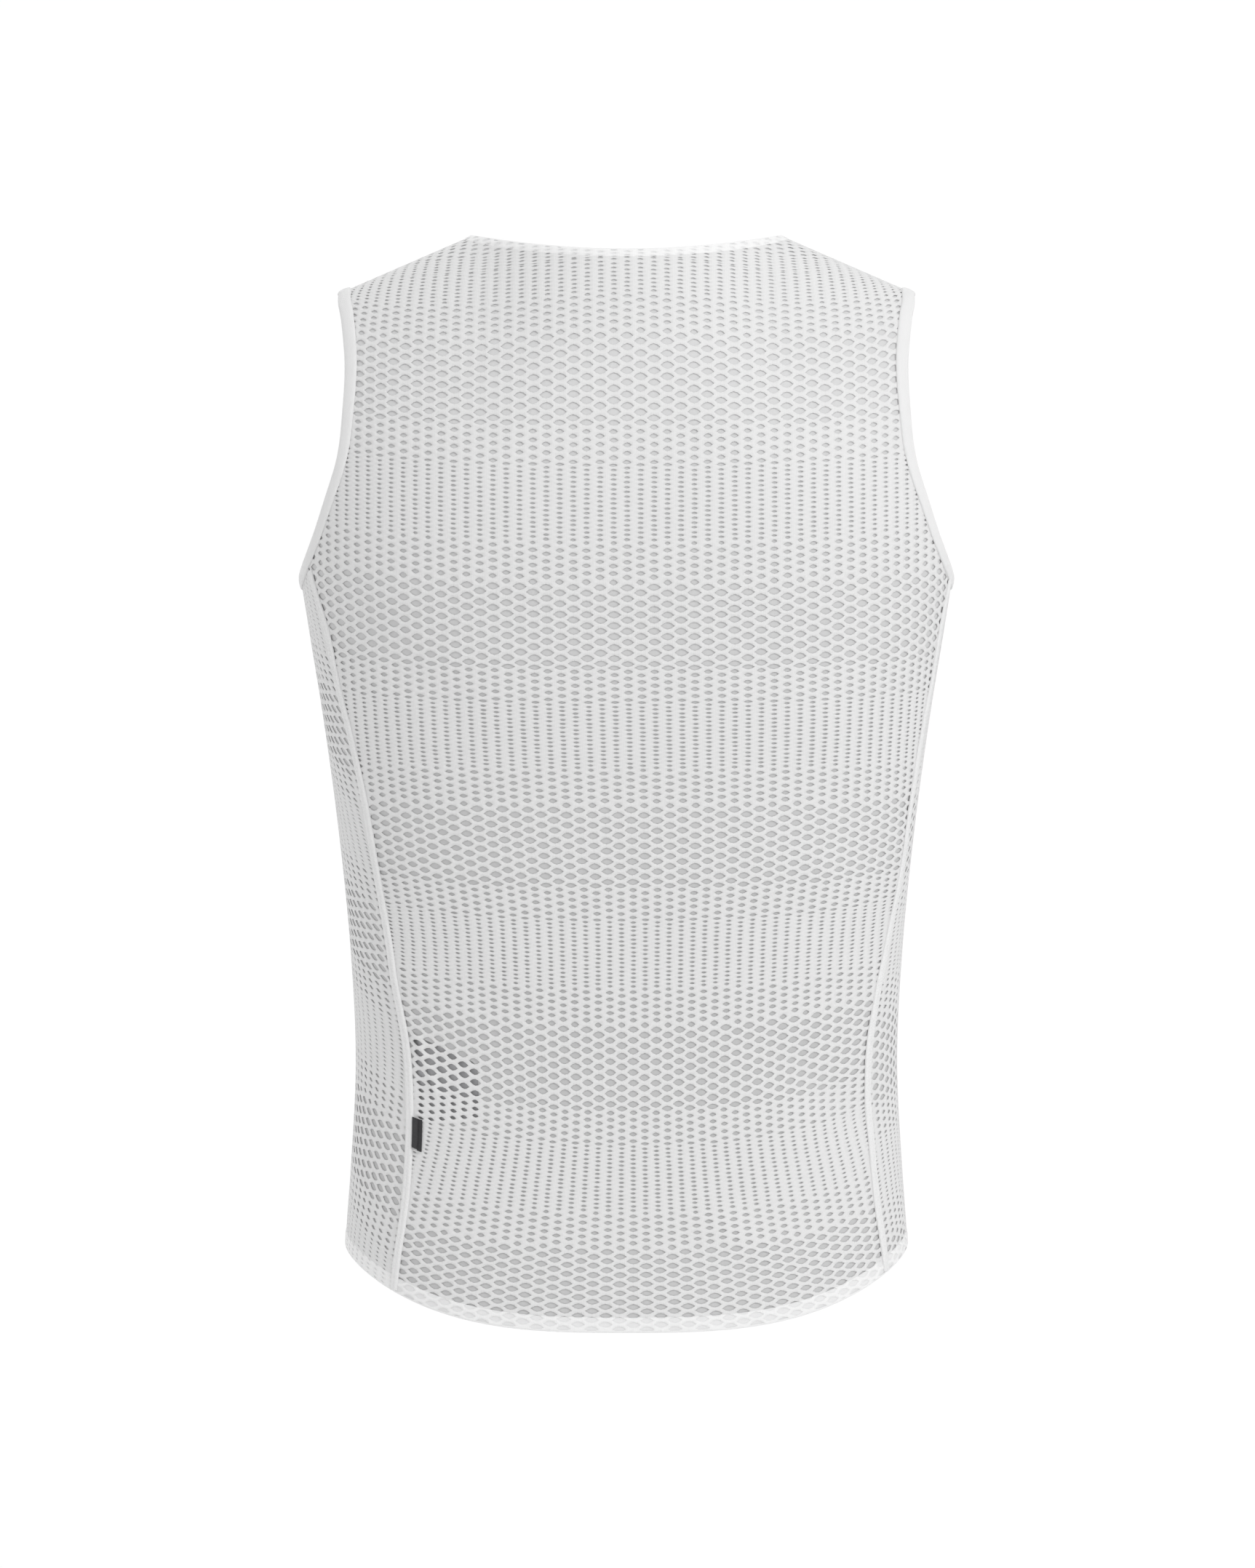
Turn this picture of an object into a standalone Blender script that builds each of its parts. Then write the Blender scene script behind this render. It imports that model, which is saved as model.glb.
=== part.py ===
"""A sleeveless mesh base layer, filled out as a wearer fills it, with nobody in it.

All sizes in the tables are millimetres. The origin lies between the shoulders at the height of
the neck points, where the wearer holds the garment up. +X is the wearer's right, +Y the wearer's
front and +Z up, so the back of the garment faces -Y.

The cloth follows one smooth hollow form: level sections that close over the shoulders in a dome.
Every piece is a thin wall on that form. Pieces stay one seam gap apart, and the narrow strips
that lie on the panels are made from the panels' own edge points, moved out.
"""

from collections import namedtuple

import bmesh
import bpy
import numpy as np

MM = 0.001

# The form that the cloth follows.
Level = namedtuple("Level", "height half_width back front middle")
FORM = (
    Level(-620, 163.6, 113, 111, 7),
    Level(-575, 162.6, 110, 109.5, 8),
    Level(-540, 160.1, 106, 108, 9),
    Level(-475, 156.9, 102, 106, 10),
    Level(-410, 159.7, 105, 108.5, 10),
    Level(-340, 166.4, 111, 114, 9),
    Level(-270, 175.6, 118, 120, 7),
    Level(-224, 182.8, 120, 123, 5),
    Level(-193, 187.2, 121, 124, 3),
    Level(-140, 188.2, 115, 117, 1),
    Level(-110, 190, 107, 104, 0),
    Level(-85, 192, 98, 91, 0),
    Level(-60, 194.5, 88, 77, 0),
    Level(-36, 198, 79, 64, 0),
    Level(0, 204, 67, 50, 0),
    Level(30, 208, 58, 40, 0),
)
SECTION_POWER = 2.4  # 2 is an ellipse, higher is squarer
DOME_HEIGHT = 150  # over this height below the shoulder line the form closes to nothing
SHOULDER_SLOPE = 0.432
NECK_HALF_WIDTH = 88
NECK_RISE = 60  # the form's own neck, above the neck points

# Openings of the garment, at the free edge of the cloth.
NECK_DROP_BACK = 9.3
NECK_DROP_FRONT = 76
HEM_SIDE = -582
HEM_BACK = -616
HEM_FRONT = -580
HEM_TAIL_POWER = 3.2  # how long the dropped tail stays low before it climbs to the side
Edge = namedtuple("Edge", "across height")
ARMHOLE = (
    Edge(0, -33.4),
    Edge(-20, -43.5),
    Edge(-40, -68.5),
    Edge(-54, -95),
    Edge(-62, -121),
    Edge(-60.5, -143),
    Edge(-50, -170),
    Edge(-30, -187.5),
    Edge(0, -195),
    Edge(28, -190.5),
    Edge(48, -176),
    Edge(59, -152),
    Edge(59, -128),
    Edge(52, -104),
    Edge(41, -78),
    Edge(22, -47),
)

# The side seams run down the back of the waist, and the whole cloth sits turned a little.
Seam = namedtuple("Seam", "height out turned")
SIDE_SEAM = (
    Seam(-620, 142.5, 8.5),
    Seam(-583, 138.8, 8.5),
    Seam(-547, 133.7, 8.5),
    Seam(-517, 131.3, 8.2),
    Seam(-485, 130.1, 7.2),
    Seam(-460, 131.4, 6.8),
    Seam(-437, 135.2, 6.6),
    Seam(-393, 143.2, 7.4),
    Seam(-363, 148.9, 7.8),
    Seam(-321, 155.2, 7.2),
    Seam(-281, 162.6, 6),
    Seam(-255, 168.4, 5.2),
    Seam(-229, 173, 4.6),
    Seam(-193, 181.5, 3),
    Seam(-180, 184, 2.5),
)
SHOULDER_SEAM_FORWARD = 12
SHOULDER_SEAM_X = (60, 190)

# Walls and strips.
PANEL_WALL = 1.2
BAND_WALL = 2.2
BAND_PROUD = 0.5
STRIP_WALL = 0.9
SEAM_GAP = 0.3
ARMHOLE_BAND = 8
NECK_BAND = 5.2
HEM_BAND = 8.6
SEAM_STRIP = 5
STRIP_SHORT = 3  # how far a seam strip stops before the band it runs into

# The folded tab sewn into the left side seam, and the care label inside it.
TAB_HEIGHTS = (-519, -499.3)
TAB_REACH = 5.8
TAB_WALL = 1.2
CARE_FAR_EDGE = (-501.5, -466.8)
CARE_SEAM_EDGE = (-504, -450.5)
CARE_REACH = 38
CARE_CLEAR = 0.7  # between the panel's inner face and the label, beyond the seam gap
CARE_WALL = 1.0

# How finely the panels are divided.
SHOULDER_COLUMNS = 5
NECK_COLUMNS = {"back": 16, "front": 22}
STRAP_ROWS = {"back": 0, "front": 5}
UNDERARM_COLUMNS = 4
TRUNK_ROWS = 20
YOKE_ROWS = 15
YOKE_CROWDING = 1.35  # rows crowd towards the shoulder, where the form turns over
FRONT_YOKE_START = 0.57  # share of the armhole's outline where the front panel's yoke begins
FINE = 1200  # steps on an edge before it is divided
DENSE = 40  # closer steps still, where an edge turns sharply over the shoulder
WELD = 0.01
SHARP = np.radians(50)

Finish = namedtuple("Finish", "colour roughness")
MESH_KNIT = Finish((0.80, 0.80, 0.80), 0.85)
TAPE_KNIT = Finish((0.86, 0.86, 0.86), 0.8)
BLACK_TAPE = Finish((0.03, 0.03, 0.032), 0.7)
GREY_SATIN = Finish((0.22, 0.22, 0.23), 0.55)


# The form


def smooth(table, column, at):
    """The value in a table's column at the given heights, joined by cubic curves."""
    heights = np.array([row.height for row in table], float)
    values = np.array([getattr(row, column) for row in table], float)
    slopes = np.gradient(values, heights)
    at = np.clip(at, heights[0], heights[-1])
    low = np.clip(np.searchsorted(heights, at) - 1, 0, len(heights) - 2)
    span = heights[low + 1] - heights[low]
    t = (at - heights[low]) / span
    return (
        (2 * t**3 - 3 * t**2 + 1) * values[low]
        + (t**3 - 2 * t**2 + t) * span * slopes[low]
        + (3 * t**2 - 2 * t**3) * values[low + 1]
        + (t**3 - t**2) * span * slopes[low + 1]
    )


def shoulder_line(x):
    """Height of the form's top: a straight slope outside the neck and a flared neck inside it."""
    x = np.abs(x)
    share = (x / NECK_HALF_WIDTH) ** 2
    flare = SHOULDER_SLOPE * NECK_HALF_WIDTH / 2
    neck = NECK_RISE * (1 - share) ** 2 + flare * share * (1 - share)
    return np.where(x < NECK_HALF_WIDTH, neck, SHOULDER_SLOPE * (NECK_HALF_WIDTH - x))


def closing(x, height):
    """Square of the share of full depth that is left this far below the shoulder line."""
    below = np.minimum((shoulder_line(x) - height) / DOME_HEIGHT, 1)
    return 1 - (1 - below) ** 2


def rounding(x, height):
    """Square of the share of full depth that is left this far out from the middle."""
    left = 1 - (np.abs(x) / smooth(FORM, "half_width", height)) ** SECTION_POWER
    return np.sign(left) * np.abs(left) ** (2 / SECTION_POWER)


def on_form(x, height, front):
    """The form's point at this place across and height, on its back or its front."""
    swell = np.sqrt(np.clip(closing(x, height), 0, 1))
    curve = np.sqrt(np.clip(rounding(x, height), 0, 1))
    depth = np.where(front, smooth(FORM, "front", height), -smooth(FORM, "back", height))
    y = smooth(FORM, "middle", height) * swell + depth * curve * swell
    return np.stack(np.broadcast_arrays(x, y, height), -1).astype(float)


def off_form(points):
    """Below zero inside the form, zero on it, above zero outside."""
    x, y, height = points[..., 0], points[..., 1], points[..., 2]
    swell = closing(x, height)
    y = y - smooth(FORM, "middle", height) * np.sqrt(np.clip(swell, 0, 1))
    depth = np.where(y > 0, smooth(FORM, "front", height), smooth(FORM, "back", height))
    return (y / depth) ** 2 - swell * rounding(x, height)


def steepest(points, step=0.02):
    """How off_form changes for each millimetre along each axis."""
    change = [off_form(points + d) - off_form(points - d) for d in np.eye(3) * step]
    return np.stack(change, -1) / (2 * step)


def outward(points):
    slope = steepest(points)
    return slope / np.linalg.norm(slope, axis=-1, keepdims=True)


def drape(points, rounds=12, longest=5):
    """The points, laid on the form."""
    for _ in range(rounds):
        slope = steepest(points)
        move = off_form(points)[..., None] * slope / (slope**2).sum(-1, keepdims=True)
        length = np.linalg.norm(move, axis=-1, keepdims=True)
        points = points - move * np.minimum(1, longest / np.maximum(length, longest))
    return points


# Edges. Each is a row of FINE + 1 points, and a place on it is a fractional index. Edges made
# from one another share their indices, and a closed one repeats its first point at the end.


def lengths(curve):
    """Length along the curve at each of its points."""
    return np.concatenate([[0], np.cumsum(np.linalg.norm(np.diff(curve, axis=0), axis=1))])


def run_at(curve, index):
    """Length along the curve to an index, which on a closed curve may lie past either end."""
    run = lengths(curve)
    laps = np.floor(index / FINE) if index < 0 or index > FINE else 0
    return np.interp(index - laps * FINE, np.arange(FINE + 1), run) + laps * run[-1]


def spaced(curve, start, end, count, crowding=1.0):
    """Indices from start to end, evenly spaced along the curve or crowded towards the end."""
    run = lengths(curve)
    first, last = run_at(curve, start), run_at(curve, end)
    wanted = first + (last - first) * (1 - (1 - np.linspace(0, 1, count + 1)) ** crowding)
    passes_an_end = min(first, last) < 0 or max(first, last) > run[-1]
    return np.interp(wanted % run[-1] if passes_an_end else wanted, run, np.arange(FINE + 1))


def pick(curve, indices):
    return np.stack([np.interp(indices, np.arange(FINE + 1), axis) for axis in curve.T], -1)


def nearest(curve, target):
    """The index at which a curve passes nearest to another curve."""
    apart = np.linalg.norm(curve[:, None] - target[None], axis=-1)
    i, j = np.clip(np.unravel_index(apart.argmin(), apart.shape), 1, FINE - 1)
    along = np.stack([curve[i + 1] - curve[i - 1], target[j - 1] - target[j + 1]], -1) / 2
    return i + np.linalg.lstsq(along, target[j] - curve[i], rcond=None)[0][0]


def inset(curve, width, away, closed=False):
    """The curve moved sideways over the form, away from a point."""
    if closed:
        run = np.roll(curve[:-1], -1, 0) - np.roll(curve[:-1], 1, 0)
        run = np.concatenate([run, run[:1]])
    else:
        run = np.gradient(curve, axis=0)
    side = np.cross(outward(curve), run)
    side /= np.linalg.norm(side, axis=1, keepdims=True)
    if ((curve - np.array(away)) * side).sum() < 0:
        side = -side
    return drape(curve + side * width)


def closed_spline(rows):
    """A smooth closed curve through the rows of an outline table."""
    knots = np.array(rows, float)
    t = np.linspace(0, len(knots), FINE + 1) % len(knots)
    k = t.astype(int)
    f = (t - k)[:, None]
    a, b, c, d = (knots[(k + shift) % len(knots)] for shift in (-1, 0, 1, 2))
    slope_in, slope_out = (c - a) / 2, (d - b) / 2
    return (
        (2 * f**3 - 3 * f**2 + 1) * b
        + (f**3 - 2 * f**2 + f) * slope_in
        + (3 * f**2 - 2 * f**3) * c
        + (f**3 - f**2) * slope_out
    )


def armhole_edge(right):
    """Free edge of an armhole, from the shoulder down the back, under the arm and up the front."""
    y, height = closed_spline(ARMHOLE).T
    near = np.full(len(y), float(NECK_HALF_WIDTH))
    far = smooth(FORM, "half_width", height)
    for _ in range(40):
        x = (near + far) / 2
        outside = off_form(np.stack([x, y, height], -1)) > 0
        near, far = np.where(outside, near, x), np.where(outside, x, far)
    return np.stack([x if right else -x, y, height], -1)


def even(curve):
    """The same line in FINE steps of one length."""
    run = lengths(curve)
    return np.stack([np.interp(np.linspace(0, run[-1], FINE + 1), run, axis) for axis in curve.T], -1)


def whole_turn():
    """Angles once round from the wearer's left over the back, and which of them face the front."""
    turn = np.linspace(-np.pi / 2, 3 * np.pi / 2, DENSE * FINE + 1)
    return turn, turn > np.pi / 2


def neck_edge():
    """Free edge of the neck, from the wearer's left over the back, round by the front."""
    turn, front = whole_turn()
    x = NECK_HALF_WIDTH * np.sin(turn)
    drop = np.where(front, NECK_DROP_FRONT * np.abs(np.cos(turn)), NECK_DROP_BACK * np.cos(turn) ** 2)
    return even(on_form(x, -drop, front))


def hem_edge():
    """Free edge of the hem, from the wearer's left over the back, round by the front."""
    turn, front = whole_turn()
    share = np.abs(np.sin(turn))
    tail = HEM_BACK + (HEM_SIDE - HEM_BACK) * share**HEM_TAIL_POWER
    rise = HEM_FRONT + (HEM_SIDE - HEM_FRONT) * share**2
    height = np.where(front, rise, tail)
    return even(on_form(smooth(FORM, "half_width", height) * np.sin(turn), height, front))


def side_seam_x(height, right):
    out = smooth(SIDE_SEAM, "out", height)
    return (out if right else -out) + smooth(SIDE_SEAM, "turned", height)


def side_seam(right):
    """A side seam from below the hem to above the armhole."""
    height = np.linspace(SIDE_SEAM[0].height, SIDE_SEAM[-1].height, FINE + 1)
    return on_form(side_seam_x(height, right), height, False)


def shoulder_seam(right):
    """A shoulder seam from beyond the armhole to inside the neck."""
    x = np.linspace(*SHOULDER_SEAM_X, FINE + 1) * (1 if right else -1)
    forward = np.full(FINE + 1, float(SHOULDER_SEAM_FORWARD))
    return drape(np.stack([x, forward, shoulder_line(x)], -1))


def level_arc(start, end, front, count):
    """Points across the back or the front, evenly spaced, from one point to another."""
    wide = max(abs(start[0]), abs(end[0])) * 1.0001
    turn = np.linspace(np.arcsin(start[0] / wide), np.arcsin(end[0] / wide), FINE + 1)
    height = np.linspace(start[2], end[2], FINE + 1)
    arc = on_form(wide * np.sin(turn), height, front)
    arc[0], arc[-1] = start, end
    return pick(arc, spaced(arc, 0, FINE, count))


def shares(edge, facing):
    """How far along two facing edges each of their points lies, from 0 to 1."""
    return (lengths(edge) / lengths(edge)[-1] + lengths(facing) / lengths(facing)[-1]) / 2


def patch(bottom, top, left, right):
    """A grid of points on the form between four edges."""
    u = shares(bottom, top)[None, :, None]
    v = shares(left, right)[:, None, None]
    across = (1 - v) * bottom[None] + v * top[None]
    up = (1 - u) * left[:, None] + u * right[:, None]
    low = (1 - u) * bottom[0] + u * bottom[-1]
    high = (1 - u) * top[0] + u * top[-1]
    grid = drape(across + up - (1 - v) * low - v * high)
    grid[0], grid[-1], grid[:, 0], grid[:, -1] = bottom, top, left, right
    return grid


# Making the solids


def finish_material(name, finish):
    material = bpy.data.materials.new(name)
    material.use_nodes = True
    shader = material.node_tree.nodes["Principled BSDF"]
    shader.inputs["Base Color"].default_value = (*finish.colour, 1)
    shader.inputs["Roughness"].default_value = finish.roughness
    shader.inputs["Metallic"].default_value = 0
    return material


def cloth(name, grids, wall, finish, collection, proud=0.0):
    """A wall of cloth between two faces that follow grids of points laid on the form.

    The outer face is moved out by proud and the inner face lies one wall behind it. Both move
    square to the form itself, so that walls that meet at a seam stay parallel there.
    """
    work = bmesh.new()
    for grid in grids:
        rows, columns = grid.shape[0] - 1, grid.shape[1] - 1
        made = bmesh.ops.create_grid(work, x_segments=columns, y_segments=rows, size=1)
        for vertex in made["verts"]:
            i = round((vertex.co.x + 1) / 2 * columns)
            j = round((vertex.co.y + 1) / 2 * rows)
            vertex.co = grid[j, i]
    bmesh.ops.remove_doubles(work, verts=work.verts, dist=WELD)
    rim = [edge for edge in work.edges if edge.is_boundary]
    outer = list(work.verts)
    twins = bmesh.ops.duplicate(work, geom=outer + list(work.edges) + list(work.faces))["vert_map"]
    laid = np.array([vertex.co for vertex in outer], float)
    normals = outward(laid)
    for vertex, out, back in zip(outer, laid + normals * proud, laid + normals * (proud - wall)):
        vertex.co, twins[vertex].co = out * MM, back * MM
    for edge in rim:
        a, b = edge.verts
        work.faces.new((a, b, twins[b], twins[a]))
    bmesh.ops.recalc_face_normals(work, faces=work.faces)
    mesh = bpy.data.meshes.new(name)
    work.to_mesh(mesh)
    work.free()
    mesh.shade_smooth()
    mesh.set_sharp_from_angle(angle=SHARP)
    mesh.materials.append(finish_material(name, finish))
    piece = bpy.data.objects.new(name, mesh)
    collection.objects.link(piece)
    return piece


class Side:
    """The edges of one side of the garment, and where they cross one another."""

    def __init__(self, right, panel_neck, panel_hem):
        beside = (420 if right else -420, 0, -120)
        self.armhole = armhole_edge(right)
        self.panel_arm = inset(self.armhole, ARMHOLE_BAND + SEAM_GAP, beside, closed=True)
        self.band_arm = inset(self.armhole, ARMHOLE_BAND, beside, closed=True)
        self.seam = side_seam(right)
        self.shoulder = shoulder_seam(right)
        behind, ahead = (0, -2500, -300), (0, 2500, -300)
        half = SEAM_GAP / 2
        # The back panel's edge lies behind each seam, and the front panel's ahead of it.
        self.seam_of = {"back": inset(self.seam, half, ahead), "front": inset(self.seam, half, behind)}
        self.shoulder_of = {
            "back": inset(self.shoulder, half, ahead),
            "front": inset(self.shoulder, half, behind),
        }
        self.arm_seam = {p: nearest(self.panel_arm, e) for p, e in self.seam_of.items()}
        self.hem_seam = {p: nearest(panel_hem, e) for p, e in self.seam_of.items()}
        self.arm_shoulder = {p: nearest(self.panel_arm, e) for p, e in self.shoulder_of.items()}
        self.neck_shoulder = {p: nearest(panel_neck, e) for p, e in self.shoulder_of.items()}
        self.seam_stations = spaced(
            self.seam, nearest(self.seam, panel_hem), nearest(self.seam, self.panel_arm), TRUNK_ROWS
        )
        self.shoulder_stations = spaced(
            self.shoulder, nearest(self.shoulder, self.panel_arm), nearest(self.shoulder, panel_neck),
            SHOULDER_COLUMNS,
        )
        yoke_start = FRONT_YOKE_START * FINE
        self.back_rows = spaced(
            self.panel_arm, self.arm_seam["back"], self.arm_shoulder["back"] - FINE, YOKE_ROWS,
            YOKE_CROWDING,
        )
        self.underarm = spaced(self.panel_arm, self.arm_seam["front"], yoke_start, UNDERARM_COLUMNS)
        self.front_rows = spaced(
            self.panel_arm, yoke_start, self.arm_shoulder["front"], YOKE_ROWS, YOKE_CROWDING
        )

    def seam_edge(self, panel, bottom, top):
        """A panel's edge along the side seam, from its corner at the hem to its corner above."""
        edge = pick(self.seam_of[panel], self.seam_stations)
        edge[0], edge[-1] = bottom, top
        return edge

    def shoulder_edge(self, panel, neck_corner):
        """A panel's edge along the shoulder seam, from the armhole to the neck."""
        edge = pick(self.shoulder_of[panel], self.shoulder_stations)
        edge[0], edge[-1] = pick(self.panel_arm, self.arm_shoulder[panel]), neck_corner
        return edge


def panel_grids(name, left, right, panel_neck, panel_hem):
    """The grids of a panel, with the stations it takes on the neck and the hem.

    Columns run from the wearer's left to right on the back, and from right to left on the front.
    """
    back = name == "back"
    first, last = (left, right) if back else (right, left)
    neck_start = first.neck_shoulder[name] - (FINE if back else 0)
    neck_stations = spaced(panel_neck, neck_start, last.neck_shoulder[name], NECK_COLUMNS[name])
    neck = pick(panel_neck, neck_stations)

    # Where the neck runs down beside a shoulder it bounds a strap, with rows of its own.
    strap_rows = STRAP_ROWS[name]
    straps, tops, yoke_sides = [], [], []
    for side, beside_neck in ((first, neck), (last, neck[::-1])):
        arm = pick(side.panel_arm, side.back_rows if back else side.front_rows)
        top = side.shoulder_edge(name, beside_neck[0])
        if strap_rows:
            steps = np.linspace(0, 1, SHOULDER_COLUMNS + 1)[:, None]
            below = drape(arm[-1 - strap_rows] * (1 - steps) + beside_neck[strap_rows] * steps)
            straps.append(patch(below, top, arm[-1 - strap_rows:], beside_neck[strap_rows::-1]))
            top = below
        tops.append(top)
        yoke_sides.append(arm[: len(arm) - strap_rows])
    top = np.concatenate([tops[0], neck[strap_rows + 1 : -1 - strap_rows], tops[1][::-1]])
    middle = level_arc(yoke_sides[0][0], yoke_sides[1][0], not back, len(top) - 1)
    yoke = patch(middle, top, *yoke_sides)

    trunk_top = middle
    if not back:
        under_first = pick(first.panel_arm, first.underarm)
        under_last = pick(last.panel_arm, last.underarm)[::-1]
        trunk_top = np.concatenate([under_first[:-1], middle, under_last[1:]])
    hem_end = last.hem_seam[name] + (0 if back else FINE)
    hem_stations = spaced(panel_hem, first.hem_seam[name], hem_end, len(trunk_top) - 1)
    hem = pick(panel_hem, hem_stations)
    trunk = patch(
        hem,
        trunk_top,
        first.seam_edge(name, hem[0], trunk_top[0]),
        last.seam_edge(name, hem[-1], trunk_top[-1]),
    )
    return [trunk, yoke, *straps], neck_stations, hem_stations


def ring(edges, stretches):
    """A closed band between edges that share their indices, with the panels' own stations."""
    around = np.concatenate([*stretches, stretches[0][:1]])
    kept = np.append(np.abs(np.diff(around)) > 1e-6, True)
    return np.stack([pick(edge, around[kept]) for edge in edges])


def seam_strip(seam, start, end, count):
    """A strip centred on a seam, stopping short of what the seam runs into."""
    indices = spaced(seam, start, end, count)
    first, last = indices[0], indices[-1]
    per_mm = FINE / run_at(seam, FINE)
    short = STRIP_SHORT * per_mm * np.sign(last - first)
    indices[0], indices[-1] = first + short, last - short
    side = (0, -2500, -300)
    return np.stack([pick(inset(seam, w, side), indices) for w in (-SEAM_STRIP / 2, 0, SEAM_STRIP / 2)])


def main():
    for left_over in list(bpy.data.objects):
        bpy.data.objects.remove(left_over)
    collection = bpy.data.collections.new("sleeveless_base_layer")
    bpy.context.scene.collection.children.link(collection)

    above_neck, below_hem = (0, 0, 400), (0, 0, -2500)
    neck, hem = neck_edge(), hem_edge()
    panel_neck = inset(neck, NECK_BAND + SEAM_GAP, above_neck, closed=True)
    panel_hem = inset(hem, HEM_BAND + SEAM_GAP, below_hem, closed=True)
    sides = {name: Side(name == "right", panel_neck, panel_hem) for name in ("left", "right")}

    stations = {}
    for name in ("back", "front"):
        grids, at_neck, at_hem = panel_grids(name, sides["left"], sides["right"], panel_neck, panel_hem)
        stations[name] = at_neck, at_hem
        cloth(f"{name}_panel", grids, PANEL_WALL, MESH_KNIT, collection)

    (back_neck, back_hem), (front_neck, front_hem) = stations["back"], stations["front"]
    band_neck = inset(neck, NECK_BAND, above_neck, closed=True)
    band = ring([neck, band_neck], [back_neck, front_neck])
    cloth("neck_band", [band], BAND_WALL, MESH_KNIT, collection, BAND_PROUD)
    band_hem = inset(hem, HEM_BAND, below_hem, closed=True)
    band = ring([hem, band_hem], [back_hem, front_hem])
    cloth("hem_band", [band], BAND_WALL, MESH_KNIT, collection, BAND_PROUD)
    for name, side in sides.items():
        band = ring([side.armhole, side.band_arm], [side.back_rows[::-1], side.underarm, side.front_rows])
        cloth(f"armhole_binding_{name}", [band], BAND_WALL, TAPE_KNIT, collection, BAND_PROUD)
        strip = seam_strip(side.seam, side.seam_stations[0], side.seam_stations[-1], TRUNK_ROWS)
        cloth(f"side_seam_{name}", [strip], STRIP_WALL, TAPE_KNIT, collection, STRIP_WALL + SEAM_GAP)
        strip = seam_strip(side.shoulder, side.shoulder_stations[0], side.shoulder_stations[-1],
                           SHOULDER_COLUMNS)
        cloth(f"shoulder_seam_{name}", [strip], STRIP_WALL, TAPE_KNIT, collection, STRIP_WALL + SEAM_GAP)

    # Both labels are sewn into the left side seam.
    height = np.linspace(*TAB_HEIGHTS, 5)[:, None]
    inner = side_seam_x(height, False) + SEAM_STRIP / 2 + SEAM_GAP
    tab = on_form(inner + np.linspace(0, TAB_REACH, 3)[None], height, False)
    cloth("tab_label", [tab], TAB_WALL, BLACK_TAPE, collection, TAB_WALL + SEAM_GAP)
    across = np.linspace(0, 1, 6)[None]
    low = CARE_SEAM_EDGE[0] + (CARE_FAR_EDGE[0] - CARE_SEAM_EDGE[0]) * across
    high = CARE_SEAM_EDGE[1] + (CARE_FAR_EDGE[1] - CARE_SEAM_EDGE[1]) * across
    height = low + (high - low) * np.linspace(0, 1, 6)[:, None]
    care = on_form(side_seam_x(height, False) + SEAM_STRIP / 2 + CARE_REACH * across, height, False)
    inside = -(PANEL_WALL + CARE_CLEAR + SEAM_GAP)
    cloth("care_label", [care], CARE_WALL, GREY_SATIN, collection, inside)


main()
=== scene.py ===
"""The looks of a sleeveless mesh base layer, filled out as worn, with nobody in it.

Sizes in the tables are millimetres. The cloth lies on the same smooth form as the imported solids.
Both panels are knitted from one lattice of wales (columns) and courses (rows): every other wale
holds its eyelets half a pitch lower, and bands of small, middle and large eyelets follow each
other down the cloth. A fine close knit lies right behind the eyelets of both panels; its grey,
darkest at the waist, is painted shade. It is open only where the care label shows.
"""

from collections import namedtuple

import bpy
import numpy as np
from mathutils import Euler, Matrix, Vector
from mathutils.kdtree import KDTree


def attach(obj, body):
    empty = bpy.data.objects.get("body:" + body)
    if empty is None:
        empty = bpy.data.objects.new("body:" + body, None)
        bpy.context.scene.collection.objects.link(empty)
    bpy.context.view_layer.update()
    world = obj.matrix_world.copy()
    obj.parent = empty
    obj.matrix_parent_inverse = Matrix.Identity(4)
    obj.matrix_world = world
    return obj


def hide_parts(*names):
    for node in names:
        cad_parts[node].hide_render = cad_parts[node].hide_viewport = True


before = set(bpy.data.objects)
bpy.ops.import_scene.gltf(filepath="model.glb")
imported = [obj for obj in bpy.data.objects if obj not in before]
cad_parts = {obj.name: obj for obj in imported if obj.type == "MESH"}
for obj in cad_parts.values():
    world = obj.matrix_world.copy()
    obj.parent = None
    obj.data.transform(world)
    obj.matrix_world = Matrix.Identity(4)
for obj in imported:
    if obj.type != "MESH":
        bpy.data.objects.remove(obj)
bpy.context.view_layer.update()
MM = 0.001


def named(columns, *rows, defaults=()):
    """A table whose columns have names. defaults are for the last ones, where a row ends early."""
    row = namedtuple("Row", columns, defaults=defaults)
    return tuple(row(*values) for values in rows)


# The form that the cloth follows, as in the solids.
FORM = named(
    "height half_width back front middle",
    (-620, 163.6, 113, 111, 7),
    (-575, 162.6, 110, 109.5, 8),
    (-540, 160.1, 106, 108, 9),
    (-475, 156.9, 102, 106, 10),
    (-410, 159.7, 105, 108.5, 10),
    (-340, 166.4, 111, 114, 9),
    (-270, 175.6, 118, 120, 7),
    (-224, 182.8, 120, 123, 5),
    (-193, 187.2, 121, 124, 3),
    (-140, 188.2, 115, 117, 1),
    (-110, 190, 107, 104, 0),
    (-85, 192, 98, 91, 0),
    (-60, 194.5, 88, 77, 0),
    (-36, 198, 79, 64, 0),
    (0, 204, 67, 50, 0),
    (30, 208, 58, 40, 0),
)
SECTION_POWER = 2.4
DOME_HEIGHT = 150
SHOULDER_SLOPE = 0.432
NECK_HALF_WIDTH = 88
NECK_RISE = 60
NECK_DROP_BACK = 9.3
NECK_DROP_FRONT = 76
HEM_SIDE = -582
HEM_BACK = -616
HEM_FRONT = -580
HEM_TAIL_POWER = 3.2
ARMHOLE = named(
    "across height",
    (0, -33.4), (-20, -43.5), (-40, -68.5), (-54, -95), (-62, -121), (-60.5, -143), (-50, -170),
    (-30, -187.5), (0, -195), (28, -190.5), (48, -176), (59, -152), (59, -128), (52, -104),
    (41, -78), (22, -47),
)
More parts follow.
